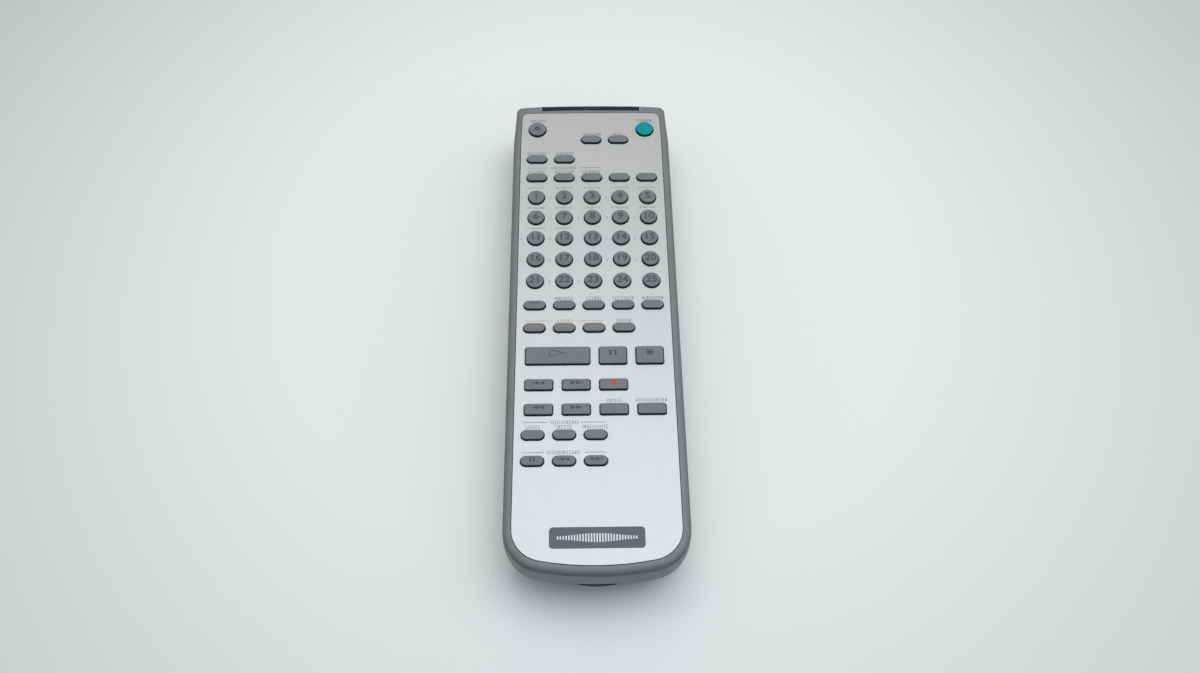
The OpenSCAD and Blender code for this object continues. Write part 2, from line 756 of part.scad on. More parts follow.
// Flat chip package with a row of bent leads on each long side
module controller_chip() {
    color("#2b2c2e") translate([0, row_num - row_pitch, board_z]) {
        translate([-chip_l / 2, -chip_w / 2, -chip_t - 0.3]) cube([chip_l, chip_w, chip_t]);
        for (s = [0, 180], i = [0:13]) rotate([0, 0, s]) translate([(i - 6.5) * lead_pitch - 0.2, 0, 0]) {
            translate([0, chip_w / 2 - 0.1, -1.4]) cube([0.4, 1.4, 0.25]);
            translate([0, chip_w / 2 + 1.05, -1.4]) cube([0.4, 0.25, 1.4]);
        }
    }
}

module resonator() {
    color("#c58b3a") translate([body_w / 2 - resonator_side_in - 3, row_num - 2 * row_pitch, board_z - 4.5]) {
        cube([3, 7, 4]);
        for (y = [1, 5.5]) translate([1.25, y, 4 - eps]) cube([0.5, 0.5, 0.5 + eps]);
    }
}

module capacitor() {
    color("#2e3a66") translate([capacitor_side_in - body_w / 2, row_c, board_z]) {
        r = capacitor_d / 2;
        l = capacitor_l;
        translate([0, 0, -l - 0.4]) rotate_extrude() polygon([
            [0, 0], [r - 0.3, 0], [r, 0.3], [r, l - 1.3], [r - 0.25, l - 1], [r, l - 0.7], [r, l], [0, l]
        ]);
        for (s = [-1, 1]) translate([s * 1.25, 0, -0.4 - eps]) cylinder(d = 0.6, h = 0.4 + eps);
    }
}

module transistor() {
    color("#2b2c2e") translate([9, row_b + 4, board_z - 6]) {
        linear_extrude(4.6) difference() {
            circle(d = 4.6);
            translate([-3, 1.3]) square([6, 3]);
        }
        for (i = [-1:1]) translate([i * 1.27 - 0.2, -0.2, 4.6 - eps]) cube([0.4, 0.4, 1.4 + eps]);
    }
}

// Axial resistors lying under the board, on bent legs
module resistors() {
    color("#c9b28a") for (i = [0:2]) translate([-6 + i * 5, row_c + 4, board_z - 1.6]) {
        rotate([-90, 0, 0]) cylinder(d = resistor_d, h = resistor_l);
        translate([-0.25, -1.5, -0.25]) cube([0.5, 1.6, 0.5]);
        translate([-0.25, resistor_l - 0.1, -0.25]) cube([0.5, 1.6, 0.5]);
        for (y = [-1.5, resistor_l + 1]) translate([-0.25, y, -0.25]) cube([0.5, 0.5, 1.85]);
    }
}

// ---- Screws ----

module case_screws() {
    color("#9a9da1") for (s = SCREWS) translate([s[0], s[1], seat_z]) difference() {
        union() {
            rotate_extrude() polygon([
                [0, -head_h], [head_d / 2 - 0.5, -head_h], [head_d / 2, -head_h + 0.6],
                [head_d / 2, 0], [screw_d / 2, 0], [screw_d / 2, screw_l - 1],
                [screw_d / 2 - 0.9, screw_l], [0, screw_l]
            ]);
        }
        for (a = [0, 90]) rotate([0, 0, a]) translate([-1.3, -0.3, -head_h - 1]) cube([2.6, 0.6, 2]);
    }
}

lower_case();
upper_case();
face_panel();
ir_window();
keypad_mat();
circuit_board();
battery_cover();
cell(-1);  // cell_left
cell(1);  // cell_right
spring_contact();
plate_contact();
link_contact();
ir_emitter();
controller_chip();
resonator();
capacitor();
transistor();
resistors();
case_screws();
key_eject();
key_power();
rect_key(RECTS[0]);  // key_play
rect_key(RECTS[1]);  // key_pause
rect_key(RECTS[2]);  // key_stop
rect_key(RECTS[3]);  // key_skip_back
rect_key(RECTS[4]);  // key_skip_forward
rect_key(RECTS[5]);  // key_record
rect_key(RECTS[6]);  // key_rewind
rect_key(RECTS[7]);  // key_fast_forward
rect_key(RECTS[8]);  // key_wide_3
rect_key(RECTS[9]);  // key_wide_4
number_keys(0);  // keys_1_to_5
number_keys(1);  // keys_6_to_10
number_keys(2);  // keys_11_to_15
number_keys(3);  // keys_16_to_20
number_keys(4);  // keys_21_to_25
pill_key(3, row_a);  // key_a3
pill_key(4, row_a);  // key_a4
pill_key(1, row_b);  // key_b1
pill_key(2, row_b);  // key_b2
pill_key(1, row_c);  // key_c1
pill_key(2, row_c);  // key_c2
pill_key(3, row_c);  // key_c3
pill_key(4, row_c);  // key_c4
pill_key(5, row_c);  // key_c5
pill_key(1, row_d);  // key_d1
pill_key(2, row_d);  // key_d2
pill_key(3, row_d);  // key_d3
pill_key(4, row_d);  // key_d4
pill_key(5, row_d);  // key_d5
pill_key(1, row_e);  // key_e1
pill_key(2, row_e);  // key_e2
pill_key(3, row_e);  // key_e3
pill_key(4, row_e);  // key_e4
pill_key(1, row_f);  // key_f1
pill_key(2, row_f);  // key_f2
pill_key(3, row_f);  // key_f3
pill_key(1, row_g);  // key_g1
pill_key(2, row_g);  // key_g2
pill_key(3, row_g);  // key_g3
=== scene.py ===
"""Hand-held infrared remote control of a disc deck, dressed around its CAD frame."""
import json
import math
import random

import bmesh
import bpy
from mathutils import Matrix, Vector


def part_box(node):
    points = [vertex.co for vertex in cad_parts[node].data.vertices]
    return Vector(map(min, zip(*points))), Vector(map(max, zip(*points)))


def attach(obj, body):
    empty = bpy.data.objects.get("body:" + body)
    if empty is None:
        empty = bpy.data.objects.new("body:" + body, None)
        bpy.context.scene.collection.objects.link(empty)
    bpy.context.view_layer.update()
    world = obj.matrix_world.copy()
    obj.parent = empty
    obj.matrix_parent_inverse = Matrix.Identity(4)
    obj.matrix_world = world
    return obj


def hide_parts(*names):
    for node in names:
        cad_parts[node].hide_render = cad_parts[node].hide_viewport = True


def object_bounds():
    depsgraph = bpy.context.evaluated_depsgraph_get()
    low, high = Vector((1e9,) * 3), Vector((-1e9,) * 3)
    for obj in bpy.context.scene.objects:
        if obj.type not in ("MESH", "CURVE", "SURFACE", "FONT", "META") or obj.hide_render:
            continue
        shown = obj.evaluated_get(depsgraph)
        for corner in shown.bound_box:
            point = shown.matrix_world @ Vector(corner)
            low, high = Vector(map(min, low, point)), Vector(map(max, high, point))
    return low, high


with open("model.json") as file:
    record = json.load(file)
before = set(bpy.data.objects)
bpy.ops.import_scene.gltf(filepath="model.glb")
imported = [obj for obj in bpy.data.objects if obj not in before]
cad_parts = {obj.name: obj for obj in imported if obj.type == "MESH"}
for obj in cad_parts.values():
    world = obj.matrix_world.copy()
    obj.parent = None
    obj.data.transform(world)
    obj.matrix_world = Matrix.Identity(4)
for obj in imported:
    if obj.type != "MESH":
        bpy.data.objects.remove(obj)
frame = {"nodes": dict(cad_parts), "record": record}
cad_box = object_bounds()

MM = 0.001
BODY_OF = {n: b for b, nodes in frame["record"]["behaviour"]["bodies"].items() for n in nodes}
SLOT_OF = {part["node"]: part["material_slot"] for part in frame["record"]["subparts"]}

# Print stands INK_T over its surface and reaches INK_SINK into it.
INK_T = 0.02 * MM
INK_SINK = 0.01 * MM

# Points this close together are one: MERGE in a CAD mesh, HAIR in a mesh made here and in a cut.
MERGE = 0.002 * MM
HAIR = 0.0001 * MM


def key_top(node):
    """Height of a key's bare top: what is printed on it ends level with its solid."""
    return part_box(node)[1][2] - INK_T


def spot(node):
    """Centre of a key in plan, and the height of its bare top."""
    lo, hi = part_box(node)
    return (lo[0] + hi[0]) / 2, (lo[1] + hi[1]) / 2, key_top(node)


# ---------------------------------------------------------------- finishes

def shaded(colour, share):
    """The colour made darker where share is under 1, and lighter where it is over."""
    return tuple(min(1, c * share) for c in colour)


class Finish:
    """A node material that is put together one shader node at a time."""

    def __init__(self, name, colour, roughness, metallic=0.0, **sockets):
        self.material = bpy.data.materials.new(name)
        self.material.use_nodes = True
        self.tree = self.material.node_tree
        self.shader = self.tree.nodes["Principled BSDF"]
        self.base = colour
        self.shader.inputs["Base Color"].default_value = (*colour, 1)
        self.shader.inputs["Roughness"].default_value = roughness
        self.shader.inputs["Metallic"].default_value = metallic
        for key, value in sockets.items():
            self.shader.inputs[key.replace("_", " ")].default_value = value
        self.material.diffuse_color = (*colour, 1)
        self.place = self.node("ShaderNodeTexCoord").outputs["Object"]

    def node(self, kind, **settings):
        """A new shader node with its settings."""
        made = self.tree.nodes.new(kind)
        for key, value in settings.items():
            setattr(made, key, value)
        return made

    def link(self, out, into):
        self.tree.links.new(out, into)

    def stretched(self, scale):
        """The place on the object, scaled along each axis."""
        mapping = self.node("ShaderNodeMapping")
        mapping.inputs["Scale"].default_value = scale
        self.link(self.place, mapping.inputs["Vector"])
        return mapping.outputs["Vector"]

    def axis(self, vector, name):
        """X, Y or Z of a vector."""
        split = self.node("ShaderNodeSeparateXYZ")
        self.link(vector, split.inputs["Vector"])
        return split.outputs[name]

    def noise(self, size, detail=2.0, stretch=None):
        """Noise whose marks are about size metres across."""
        made = self.node("ShaderNodeTexNoise")
        made.inputs["Scale"].default_value = 1 / size
        made.inputs["Detail"].default_value = detail
        self.link(self.stretched(stretch) if stretch else self.place, made.inputs["Vector"])
        return made.outputs["Fac"]

    def spread(self, value, low, high, out_low, out_high):
        """The value between low and high, set out between out_low and out_high."""
        made = self.node("ShaderNodeMapRange")
        limits = {"From Min": low, "From Max": high, "To Min": out_low, "To Max": out_high}
        for name, number in limits.items():
            made.inputs[name].default_value = number
        self.link(value, made.inputs["Value"])
        return made.outputs["Result"]

    def clouds(self, size, detail=3.0):
        """Soft patches from 0 to 1, about size metres across."""
        return self.spread(self.noise(size, detail), 0.3, 0.7, 0, 1)

    def blend_colours(self, factor, first, second):
        """From the first colour at factor 0 to the second at 1; each is a colour or an output."""
        made = self.node("ShaderNodeMix", data_type="RGBA")
        self.link(factor, made.inputs["Factor"])
        for slot, colour in ((6, first), (7, second)):
            if isinstance(colour, tuple):
                made.inputs[slot].default_value = (*colour, 1)
            else:
                self.link(colour, made.inputs[slot])
        return made.outputs[2]

    def colour_from(self, value):
        self.link(value, self.shader.inputs["Base Color"])

    def mottle(self, size, amount, detail=3.0):
        """Slight light and dark clouds over the base colour."""
        dark, light = shaded(self.base, 1 - amount), shaded(self.base, 1 + amount)
        self.colour_from(self.blend_colours(self.clouds(size, detail), dark, light))

    def rough_from(self, value, low, high):
        self.link(self.spread(value, 0.3, 0.7, low, high), self.shader.inputs["Roughness"])

    def bump(self, height, strength, depth):
        made = self.node("ShaderNodeBump")
        made.inputs["Strength"].default_value = strength
        made.inputs["Distance"].default_value = depth
        self.link(height, made.inputs["Height"])
        self.link(made.outputs["Normal"], self.shader.inputs["Normal"])

    def mould_grain(self, roughness):
        """Spark-eroded mould texture: fine even grain with slightly uneven gloss."""
        self.rough_from(self.noise(4 * MM), roughness - 0.05, roughness + 0.06)
        self.bump(self.noise(0.35 * MM, 2.5), 0.35, 0.02 * MM)


def moulded_plastic(name, colour, roughness):
    """Plastic of one colour, faintly clouded."""
    finish = Finish(name, colour, roughness)
    finish.mottle(6 * MM, 0.05)
    finish.mould_grain(roughness)
    return finish.material


# Height of the line between the case halves, how far from it the painted shade is full, and where it ends.
PARTING_Z = 20.9 * MM
PARTING_SHADE_FULL, PARTING_SHADE_END = 0.25 * MM, 1.2 * MM


def case_plastic(name, colour, roughness):
    """Moulded plastic with painted shade that darkens it along the line between the two halves."""
    finish = Finish(name, colour, roughness)
    unshaded = finish.blend_colours(finish.clouds(6 * MM), shaded(colour, 0.95), shaded(colour, 1.05))
    # Painted shade: the colour darkens in a band about PARTING_Z, standing for the shade in the crease
    # between the halves.
    off = finish.node("ShaderNodeMath", operation="SUBTRACT")
    finish.link(finish.axis(finish.place, "Z"), off.inputs[0])
    off.inputs[1].default_value = PARTING_Z
    away = finish.node("ShaderNodeMath", operation="ABSOLUTE")
    finish.link(off.outputs[0], away.inputs[0])
    parting_shade = finish.spread(away.outputs[0], PARTING_SHADE_FULL, PARTING_SHADE_END, 1, 0)
    finish.colour_from(finish.blend_colours(parting_shade, unshaded, shaded(colour, 0.62)))
    finish.mould_grain(roughness)
    return finish.material


def silver_paint():
    """Satin silver lacquer with metal flakes under a thin clear coat."""
    finish = Finish("silver_paint", (0.47, 0.475, 0.475), 0.36, 0.5, Coat_Weight=0.1, Coat_Roughness=0.35)
    flakes = finish.node("ShaderNodeTexVoronoi")
    flakes.inputs["Scale"].default_value = 1 / (0.22 * MM)
    finish.link(finish.place, flakes.inputs["Vector"])
    tint = finish.spread(flakes.outputs["Color"], 0.1, 0.9, 0, 1)
    speckle = finish.blend_colours(tint, (0.44, 0.445, 0.447), (0.5, 0.505, 0.507))
    finish.colour_from(finish.blend_colours(finish.clouds(14 * MM), speckle, (0.473, 0.478, 0.48)))
    finish.rough_from(finish.noise(2.5 * MM, 3), 0.355, 0.38)
    finish.bump(finish.noise(0.5 * MM, 2), 0.05, 0.01 * MM)
    return finish.material


def key_rubber(name, colour, gloss=0.3):
    """Soft painted rubber: fine matt skin rubbed lighter in patches, with painted shade that makes the
    sides near black.
    """
    finish = Finish(name, colour, 0.62, Specular_IOR_Level=gloss)
    normal = finish.node("ShaderNodeNewGeometry").outputs["Normal"]
    # Painted shade: faces that turn away from up get a near-black copy of the colour, standing for the
    # shaded sides of the keys.
    top = finish.spread(finish.axis(normal, "Z"), 0.5, 0.85, 0, 1)
    rubbed = finish.spread(finish.noise(2.5 * MM, 3), 0.35, 0.65, 0, 1)
    skin = finish.blend_colours(rubbed, colour, shaded(colour, 1.06))
    finish.colour_from(finish.blend_colours(top, shaded(colour, 0.12), skin))
    finish.rough_from(finish.noise(1.5 * MM), 0.56, 0.68)
    finish.bump(finish.noise(0.18 * MM, 2), 0.25, 0.012 * MM)
    return finish.material


def window_plastic():
    """Dark infrared filter: glossy, deep teal black."""
    finish = Finish("window_plastic", (0.006, 0.022, 0.027), 0.2, Specular_IOR_Level=0.25)
    finish.mottle(9 * MM, 0.12)
    finish.rough_from(finish.noise(3 * MM), 0.16, 0.24)
    return finish.material


def printed_ink(name, colour, roughness=0.5):
    """Screen ink that lies a little unevenly."""
    finish = Finish(name, colour, roughness)
    finish.mottle(0.8 * MM, 0.08)
    finish.bump(finish.noise(0.2 * MM), 0.1, 0.004 * MM)
    return finish.material


def plated_metal(name, colour, roughness):
    """Metal with fine scratches along Y."""
    finish = Finish(name, colour, roughness, 1.0)
    finish.mottle(3 * MM, 0.06)
    scratches = finish.noise(0.3 * MM, 3, (1, 0.08, 1))
    finish.rough_from(scratches, roughness - 0.06, roughness + 0.08)
    finish.bump(scratches, 0.12, 0.006 * MM)
    return finish.material


def board_laminate():
    """Green solder mask over copper tracks."""
    finish = Finish("board_laminate", (0.05, 0.16, 0.06), 0.35, Coat_Weight=0.3, Coat_Roughness=0.2)
    tracks = finish.node("ShaderNodeTexBrick")
    tracks.inputs["Scale"].default_value = 1 / (14 * MM)
    tracks.inputs["Mortar Size"].default_value = 0.035
    finish.link(finish.place, tracks.inputs["Vector"])
    tracks.inputs["Color1"].default_value = (0.045, 0.15, 0.055, 1)
    tracks.inputs["Color2"].default_value = (0.055, 0.17, 0.06, 1)
    tracks.inputs["Mortar"].default_value = (0.1, 0.26, 0.09, 1)
    finish.colour_from(tracks.outputs["Color"])
    finish.bump(tracks.outputs["Fac"], 0.3, 0.03 * MM)
    return finish.material


SLEEVE_BAND_Y = -34.4 * MM


def cell_sleeve():
    """Plain two-tone shrink sleeve of a dry cell, dark and, beyond SLEEVE_BAND_Y, brown."""
    finish = Finish("cell_sleeve", (0.035, 0.04, 0.045), 0.28, Coat_Weight=0.4, Coat_Roughness=0.12)
    band = finish.spread(finish.axis(finish.place, "Y"), SLEEVE_BAND_Y, SLEEVE_BAND_Y + 0.5 * MM, 0, 1)
    dark = finish.blend_colours(finish.clouds(5 * MM, 2), (0.032, 0.036, 0.042), (0.045, 0.05, 0.056))
    finish.colour_from(finish.blend_colours(band, dark, (0.42, 0.3, 0.12)))
    finish.bump(finish.noise(2 * MM), 0.1, 0.01 * MM)
    return finish.material


def resistor_lacquer():
    """Tan lacquer with brown rings across X."""
    tan = (0.55, 0.42, 0.25)
    finish = Finish("resistor_lacquer", tan, 0.4)
    wave = finish.node("ShaderNodeTexWave", bands_direction="X")
    wave.inputs["Scale"].default_value = 260
    finish.link(finish.place, wave.inputs["Vector"])
    rings = finish.spread(wave.outputs["Fac"], 0.86, 0.9, 0, 1)
    finish.colour_from(finish.blend_colours(rings, tan, (0.25, 0.08, 0.03)))
    finish.bump(finish.noise(0.6 * MM), 0.1, 0.01 * MM)
    return finish.material


def emitter_resin():
    """Clear blue-tinted lens of the emitter."""
    finish = Finish("emitter_resin", (0.12, 0.16, 0.3), 0.1, Transmission_Weight=0.3)
    finish.mottle(2 * MM, 0.1)
    return finish.material


CASE_GREY = case_plastic("case_grey", (0.2, 0.205, 0.205), 0.48)
COVER_GREY = moulded_plastic("cover_grey", (0.154, 0.159, 0.159), 0.5)
SILVER = silver_paint()
RUBBER = key_rubber("key_rubber", (0.188, 0.194, 0.203))
TEAL = key_rubber("power_key_teal", (0.0, 0.31, 0.29), gloss=0.12)
WINDOW = window_plastic()
INK = printed_ink("grey_print", (0.12, 0.12, 0.125))
FAINT_INK = printed_ink("faint_print", (0.3, 0.28, 0.25))
KEY_INK = printed_ink("key_print", (0.055, 0.058, 0.078))
ROSE_INK = printed_ink("rose_print", (0.42, 0.22, 0.18))
RED_INK = printed_ink("red_print", (0.55, 0.035, 0.05))
WHITE_INK = printed_ink("white_print", (0.82, 0.83, 0.84))
SLATE = printed_ink("slate_print", (0.076, 0.083, 0.1), 0.42)
# Dark plastic standing for shade: the painted shade of the panel seam and the finger gap.
SEAM = moulded_plastic("seam_shade", (0.024, 0.023, 0.03), 0.8)
MAT_RUBBER = moulded_plastic("mat_rubber", (0.07, 0.074, 0.078), 0.7)
LAMINATE = board_laminate()
SLEEVE = cell_sleeve()
NICKEL = plated_metal("nickel_plate", (0.6, 0.6, 0.58), 0.3)
SCREW_STEEL = plated_metal("screw_steel", (0.36, 0.36, 0.37), 0.38)
RESIN = emitter_resin()
CHIP = moulded_plastic("chip_package", (0.022, 0.023, 0.025), 0.55)
CERAMIC = moulded_plastic("dipped_ceramic", (0.5, 0.22, 0.04), 0.35)
CAN_SLEEVE = moulded_plastic("capacitor_sleeve", (0.03, 0.045, 0.14), 0.3)
LACQUER = resistor_lacquer()

FINISH_OF = {
    "lower_case": CASE_GREY, "upper_case": CASE_GREY, "battery_cover": COVER_GREY,
    "face_panel": SILVER, "ir_window": WINDOW, "keypad_mat": MAT_RUBBER,
    "circuit_board": LAMINATE, "cell_left": SLEEVE, "cell_right": SLEEVE,
    "spring_contact": NICKEL, "plate_contact": NICKEL, "link_contact": NICKEL,
    "ir_emitter": RESIN, "controller_chip": CHIP, "resonator": CERAMIC,
    "capacitor": CAN_SLEEVE, "transistor": CHIP, "resistors": LACQUER,
    "case_screws": SCREW_STEEL,
}


# ---------------------------------------------------------------- making pieces

def add_piece(name, mesh, body, material):
    """Puts a finished mesh in the scene, in one material, on the body that it moves with."""
    piece = bpy.data.objects.new(name, mesh)
    bpy.context.scene.collection.objects.link(piece)
    mesh.materials.clear()
    mesh.materials.append(material)
    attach(piece, body)
    return piece


# Angles in degrees: edges that stay sharp, and faces that count as one level face.
SHARP_EDGE = 35
SKIN_SHARP_EDGE = 32
LEVEL_FACES = 0.1


def from_bmesh(name, bm, smooth=True, sharp=SHARP_EDGE):
    """The mesh of bm, faceted or else smooth up to edges of sharp degrees, and bm goes."""
    mesh = bpy.data.meshes.new(name)
    bm.to_mesh(mesh)
    bm.free()
    mesh.polygons.foreach_set("use_smooth", [smooth] * len(mesh.polygons))
    if smooth:
        mesh.set_sharp_from_angle(angle=math.radians(sharp))
    return mesh


def evaluated(name, carrier):
    """The plain mesh that an object comes to, and the object itself goes."""
    shown = carrier.evaluated_get(bpy.context.evaluated_depsgraph_get())
    result = bpy.data.meshes.new_from_object(shown)
    result.name = name
    carrier.modifiers.clear()
    bpy.data.objects.remove(carrier)
    return result


def carried(data):
    """An object in the scene that carries data until it is evaluated."""
    carrier = bpy.data.objects.new("carrier", data)
    bpy.context.scene.collection.objects.link(carrier)
    return carrier


def evened(mesh, name):
    """Returns the mesh with face-weighted normals, so broad flats stay flat beside small rounds."""
    carrier = carried(mesh)
    modifier = carrier.modifiers.new("weigh", "WEIGHTED_NORMAL")
    modifier.keep_sharp = True
    return evaluated(name, carrier)


def ramp(value, low, high):
    """0 below low, 1 above high and a soft slope between."""
    t = min(1.0, max(0.0, (value - low) / (high - low)))
    return t * t * (3 - 2 * t)


# The solids' far corners are rounder than the real case's, and their sides run straight to them.
CASE_HALF_W = cad_box[1][0]
FAR_END = cad_box[1][1]
SOLID_CORNER_R = 5.0 * MM
SOLID_FAR_ARC_R = 230 * MM
CORNER_R = 2.4 * MM
SHOULDER_L = 20 * MM
SHOULDER_IN = 0.75 * MM
END_LIFT = 0.45 * MM
LIFT_L = 12 * MM
END_FLAT = 3 * MM
SHOULDER_CUTS = 12
EASE_FROM, EASE_TO = 0.2 * SOLID_CORNER_R, 0.8 * SOLID_CORNER_R
CORNER_X = CASE_HALF_W - SOLID_CORNER_R
CORNER_Y = (FAR_END - SOLID_FAR_ARC_R
            + math.sqrt((SOLID_FAR_ARC_R - SOLID_CORNER_R) ** 2 - CORNER_X ** 2))
LIFT_REACH = 0.8 * CORNER_X


def corner_reach(angle, half, radius):
    """How far a square of half a side, with corners of radius, reaches from its centre at an angle."""
    c, s = math.cos(angle), math.sin(angle)
    flat = half - radius
    if min(c, s) * half <= flat * max(c, s):
        return half / max(c, s)
    return flat * (c + s) + math.sqrt(max(0.0, (flat * (c + s)) ** 2 - 2 * flat * flat + radius * radius))


def shouldered(point):
    """Tightens the far corners, draws the sides in a little before them and flattens the far arc."""
    x, y, z = point
    side = math.copysign(1, x)
    u, v = abs(x) - CORNER_X, y - CORNER_Y
    if u > 0 and v > 0:
        out = math.hypot(u, v)
        reach = corner_reach(math.atan2(v, u), SOLID_CORNER_R, CORNER_R) / SOLID_CORNER_R
        scale = 1 + (reach - 1) * ramp(out, EASE_FROM, EASE_TO)
        u, v = u * scale, v * scale
        x, y = side * (CORNER_X + u), CORNER_Y + v
    edge = min(1, max(0, u / SOLID_CORNER_R))
    x -= side * SHOULDER_IN * edge * ramp(y, FAR_END - SHOULDER_L, FAR_END - END_FLAT)
    outer = min(1, abs(x) / LIFT_REACH)
    y += END_LIFT * outer ** 2 * ramp(y, FAR_END - LIFT_L, FAR_END - END_FLAT)
    return x, min(y, FAR_END), z


def joined_cad(node):
    """A bmesh copy of a CAD node with its loose triangles joined up."""
    bm = bmesh.new()
    bm.from_mesh(frame["nodes"][node].data)
    bmesh.ops.remove_doubles(bm, verts=bm.verts, dist=MERGE)
    return bm


def cut_across(bm, place, normal):
    """Cuts bm with a plane, and returns what the cut made."""
    return bmesh.ops.bisect_plane(bm, geom=bm.verts[:] + bm.edges[:] + bm.faces[:], dist=HAIR,
                                  plane_co=place, plane_no=normal)


def smooth_copy(node, flat=False):
    """Stands for a CAD node, joined up and smoothly shaded, with the far corners of the real case."""
    bm = joined_cad(node)
    bmesh.ops.dissolve_limit(bm, angle_limit=math.radians(LEVEL_FACES), verts=bm.verts, edges=bm.edges)
    for k in range(1, SHOULDER_CUTS + 1):
        cut_across(bm, (0, FAR_END - SHOULDER_L * k / (SHOULDER_CUTS + 1), 0), (0, 1, 0))
    for vert in bm.verts:
        vert.co = shouldered(vert.co)
    name = node + "_skin"
    if flat:
        mesh = from_bmesh(name, bm, smooth=False)
    else:
        mesh = evened(from_bmesh(name, bm, sharp=SKIN_SHARP_EDGE), name)
    piece = add_piece(name, mesh, BODY_OF[node], FINISH_OF[node])
    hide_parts(node)


def rounded_outline(width, height, radius, steps):
    """Closed anticlockwise outline of a rectangle with round corners."""
    points = []
    for sx, sy, start in ((1, 1, 0), (-1, 1, 90), (-1, -1, 180), (1, -1, 270)):
        for k in range(steps + 1):
            a = math.radians(start + 90 * k / steps)
            points.append((sx * (width / 2 - radius) + radius * math.cos(a),
                           sy * (height / 2 - radius) + radius * math.sin(a)))
    return points


def skinned(rings):
    """Closed solid through rings of equal counts, listed from the bottom up."""
    bm = bmesh.new()
    rows = [[bm.verts.new(p) for p in ring] for ring in rings]
    n = len(rows[0])
    for low, high in zip(rows, rows[1:]):
        for i in range(n):
            bm.faces.new((low[i], low[(i + 1) % n], high[(i + 1) % n], high[i]))
    bm.faces.new(list(reversed(rows[0])))
    bm.faces.new(rows[-1])
    bmesh.ops.remove_doubles(bm, verts=bm.verts, dist=HAIR)
    bmesh.ops.recalc_face_normals(bm, faces=bm.faces)
    return bm


def prism(outline, low, high):
    """An outline drawn up from one height to another."""
    return skinned([[(x, y, low) for x, y in outline], [(x, y, high) for x, y in outline]])


def new_tree(name, **inputs):
    """A Geometry Nodes tree that takes geometry and named inputs, with its two end nodes."""
    tree = bpy.data.node_groups.new(name, "GeometryNodeTree")
    socket = tree.interface.new_socket
    socket("Geometry", in_out="INPUT", socket_type="NodeSocketGeometry")
    for key, kind in inputs.items():
        socket(key, in_out="INPUT", socket_type="NodeSocket" + kind)
    socket("Geometry", in_out="OUTPUT", socket_type="NodeSocketGeometry")
    return tree, tree.nodes.new("NodeGroupInput"), tree.nodes.new("NodeGroupOutput")


def grown(name, mesh, tree, **values):
    """The plain mesh that a Geometry Nodes tree makes from mesh and its named inputs."""
    carrier = carried(mesh)
    modifier = carrier.modifiers.new("nodes", "NODES")
    modifier.node_group = tree
    sockets = {s.name: s.identifier for s in tree.interface.items_tree if s.in_out == "INPUT"}
    for key, value in values.items():
        modifier[sockets[key]] = value
    return evaluated(name, carrier)


# ---------------------------------------------------------------- keys

# A cap's rings keep corners of LEAST_R, and its inmost ring is 2 * LEAST_W across. The radius of a
# pill's ends is PILL_SPARE less than half its height.
KEY_EDGE = 0.42 * MM
FLANGE_W = 0.55 * MM
FLANGE_T = 0.7 * MM
CROWN = 0.05 * MM
CROWN_RINGS = (0.3, 0.7, 1.0)
EDGE_STEPS = 6
SQUARE_R = 0.68 * MM
PILL_SPARE = 0.001 * MM
ROUND_STEPS, SQUARE_STEPS = 12, 6
LEAST_R = 0.06 * MM
LEAST_W = 0.08 * MM
ROW_KEYS = 5

NUMBER_ROWS = {f"keys_{first}_to_{first + ROW_KEYS - 1}": first for first in range(1, 26, ROW_KEYS)}
KEY_NODES = [n for n in frame["nodes"] if n.startswith("key") and n != "keypad_mat"]
SQUARE_KEYS = ("key_play", "key_pause", "key_stop", "key_skip_back", "key_skip_forward",
               "key_record", "key_rewind", "key_fast_forward", "key_wide_3", "key_wide_4")


def key_cap(width, height, radius, low, top, steps):
    """A key with its hidden flange, a rounded rim and a faintly crowned top, about its own centre."""
    def ring(grow, z):
        outline = rounded_outline(width + 2 * grow, height + 2 * grow, max(radius + grow, LEAST_R), steps)
        return [(x, y, z) for x, y in outline]
    rim = top - CROWN
    rings = [ring(FLANGE_W, low), ring(FLANGE_W, low + FLANGE_T), ring(0, low + FLANGE_T)]
    for k in range(EDGE_STEPS + 1):
        a = math.radians(90 * k / EDGE_STEPS)
        rings.append(ring(-KEY_EDGE * (1 - math.cos(a)), rim - KEY_EDGE + KEY_EDGE * math.sin(a)))
    spare = min(width, height) / 2 - KEY_EDGE - LEAST_W
    for share in CROWN_RINGS:
        rings.append(ring(-KEY_EDGE - spare * share, rim + CROWN * (1 - (1 - share) ** 2)))
    return skinned(rings)


def row_tree():
    """Geometry Nodes: the cap that comes in is set down Count times along X, Pitch apart."""
    tree, given, result = new_tree("key_row", Count="Int", Pitch="Float", First="Vector", Finish="Material")
    new, link = tree.nodes.new, tree.links.new
    step = new("ShaderNodeCombineXYZ")
    line = new("GeometryNodeMeshLine")
    line.mode = "OFFSET"
    lay = new("GeometryNodeInstanceOnPoints")
    real, paint = new("GeometryNodeRealizeInstances"), new("GeometryNodeSetMaterial")
    link(given.outputs["Pitch"], step.inputs["X"])
    link(given.outputs["Count"], line.inputs["Count"])
    link(given.outputs["First"], line.inputs["Start Location"])
    link(step.outputs["Vector"], line.inputs["Offset"])
    link(line.outputs["Mesh"], lay.inputs["Points"])
    link(given.outputs["Geometry"], lay.inputs["Instance"])
    link(lay.outputs["Instances"], real.inputs["Geometry"])
    link(real.outputs["Geometry"], paint.inputs["Geometry"])
    link(given.outputs["Finish"], paint.inputs["Material"])
    link(paint.outputs["Geometry"], result.inputs["Geometry"])
    return tree


def number_places(node):
    """Centres of the keys in a number row, and their pitch."""
    lo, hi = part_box(node)
    reach = (hi[1] - lo[1]) / 2
    pitch = (hi[0] - lo[0] - 2 * reach) / (ROW_KEYS - 1)
    return [(lo[0] + reach + c * pitch, (lo[1] + hi[1]) / 2) for c in range(ROW_KEYS)], pitch


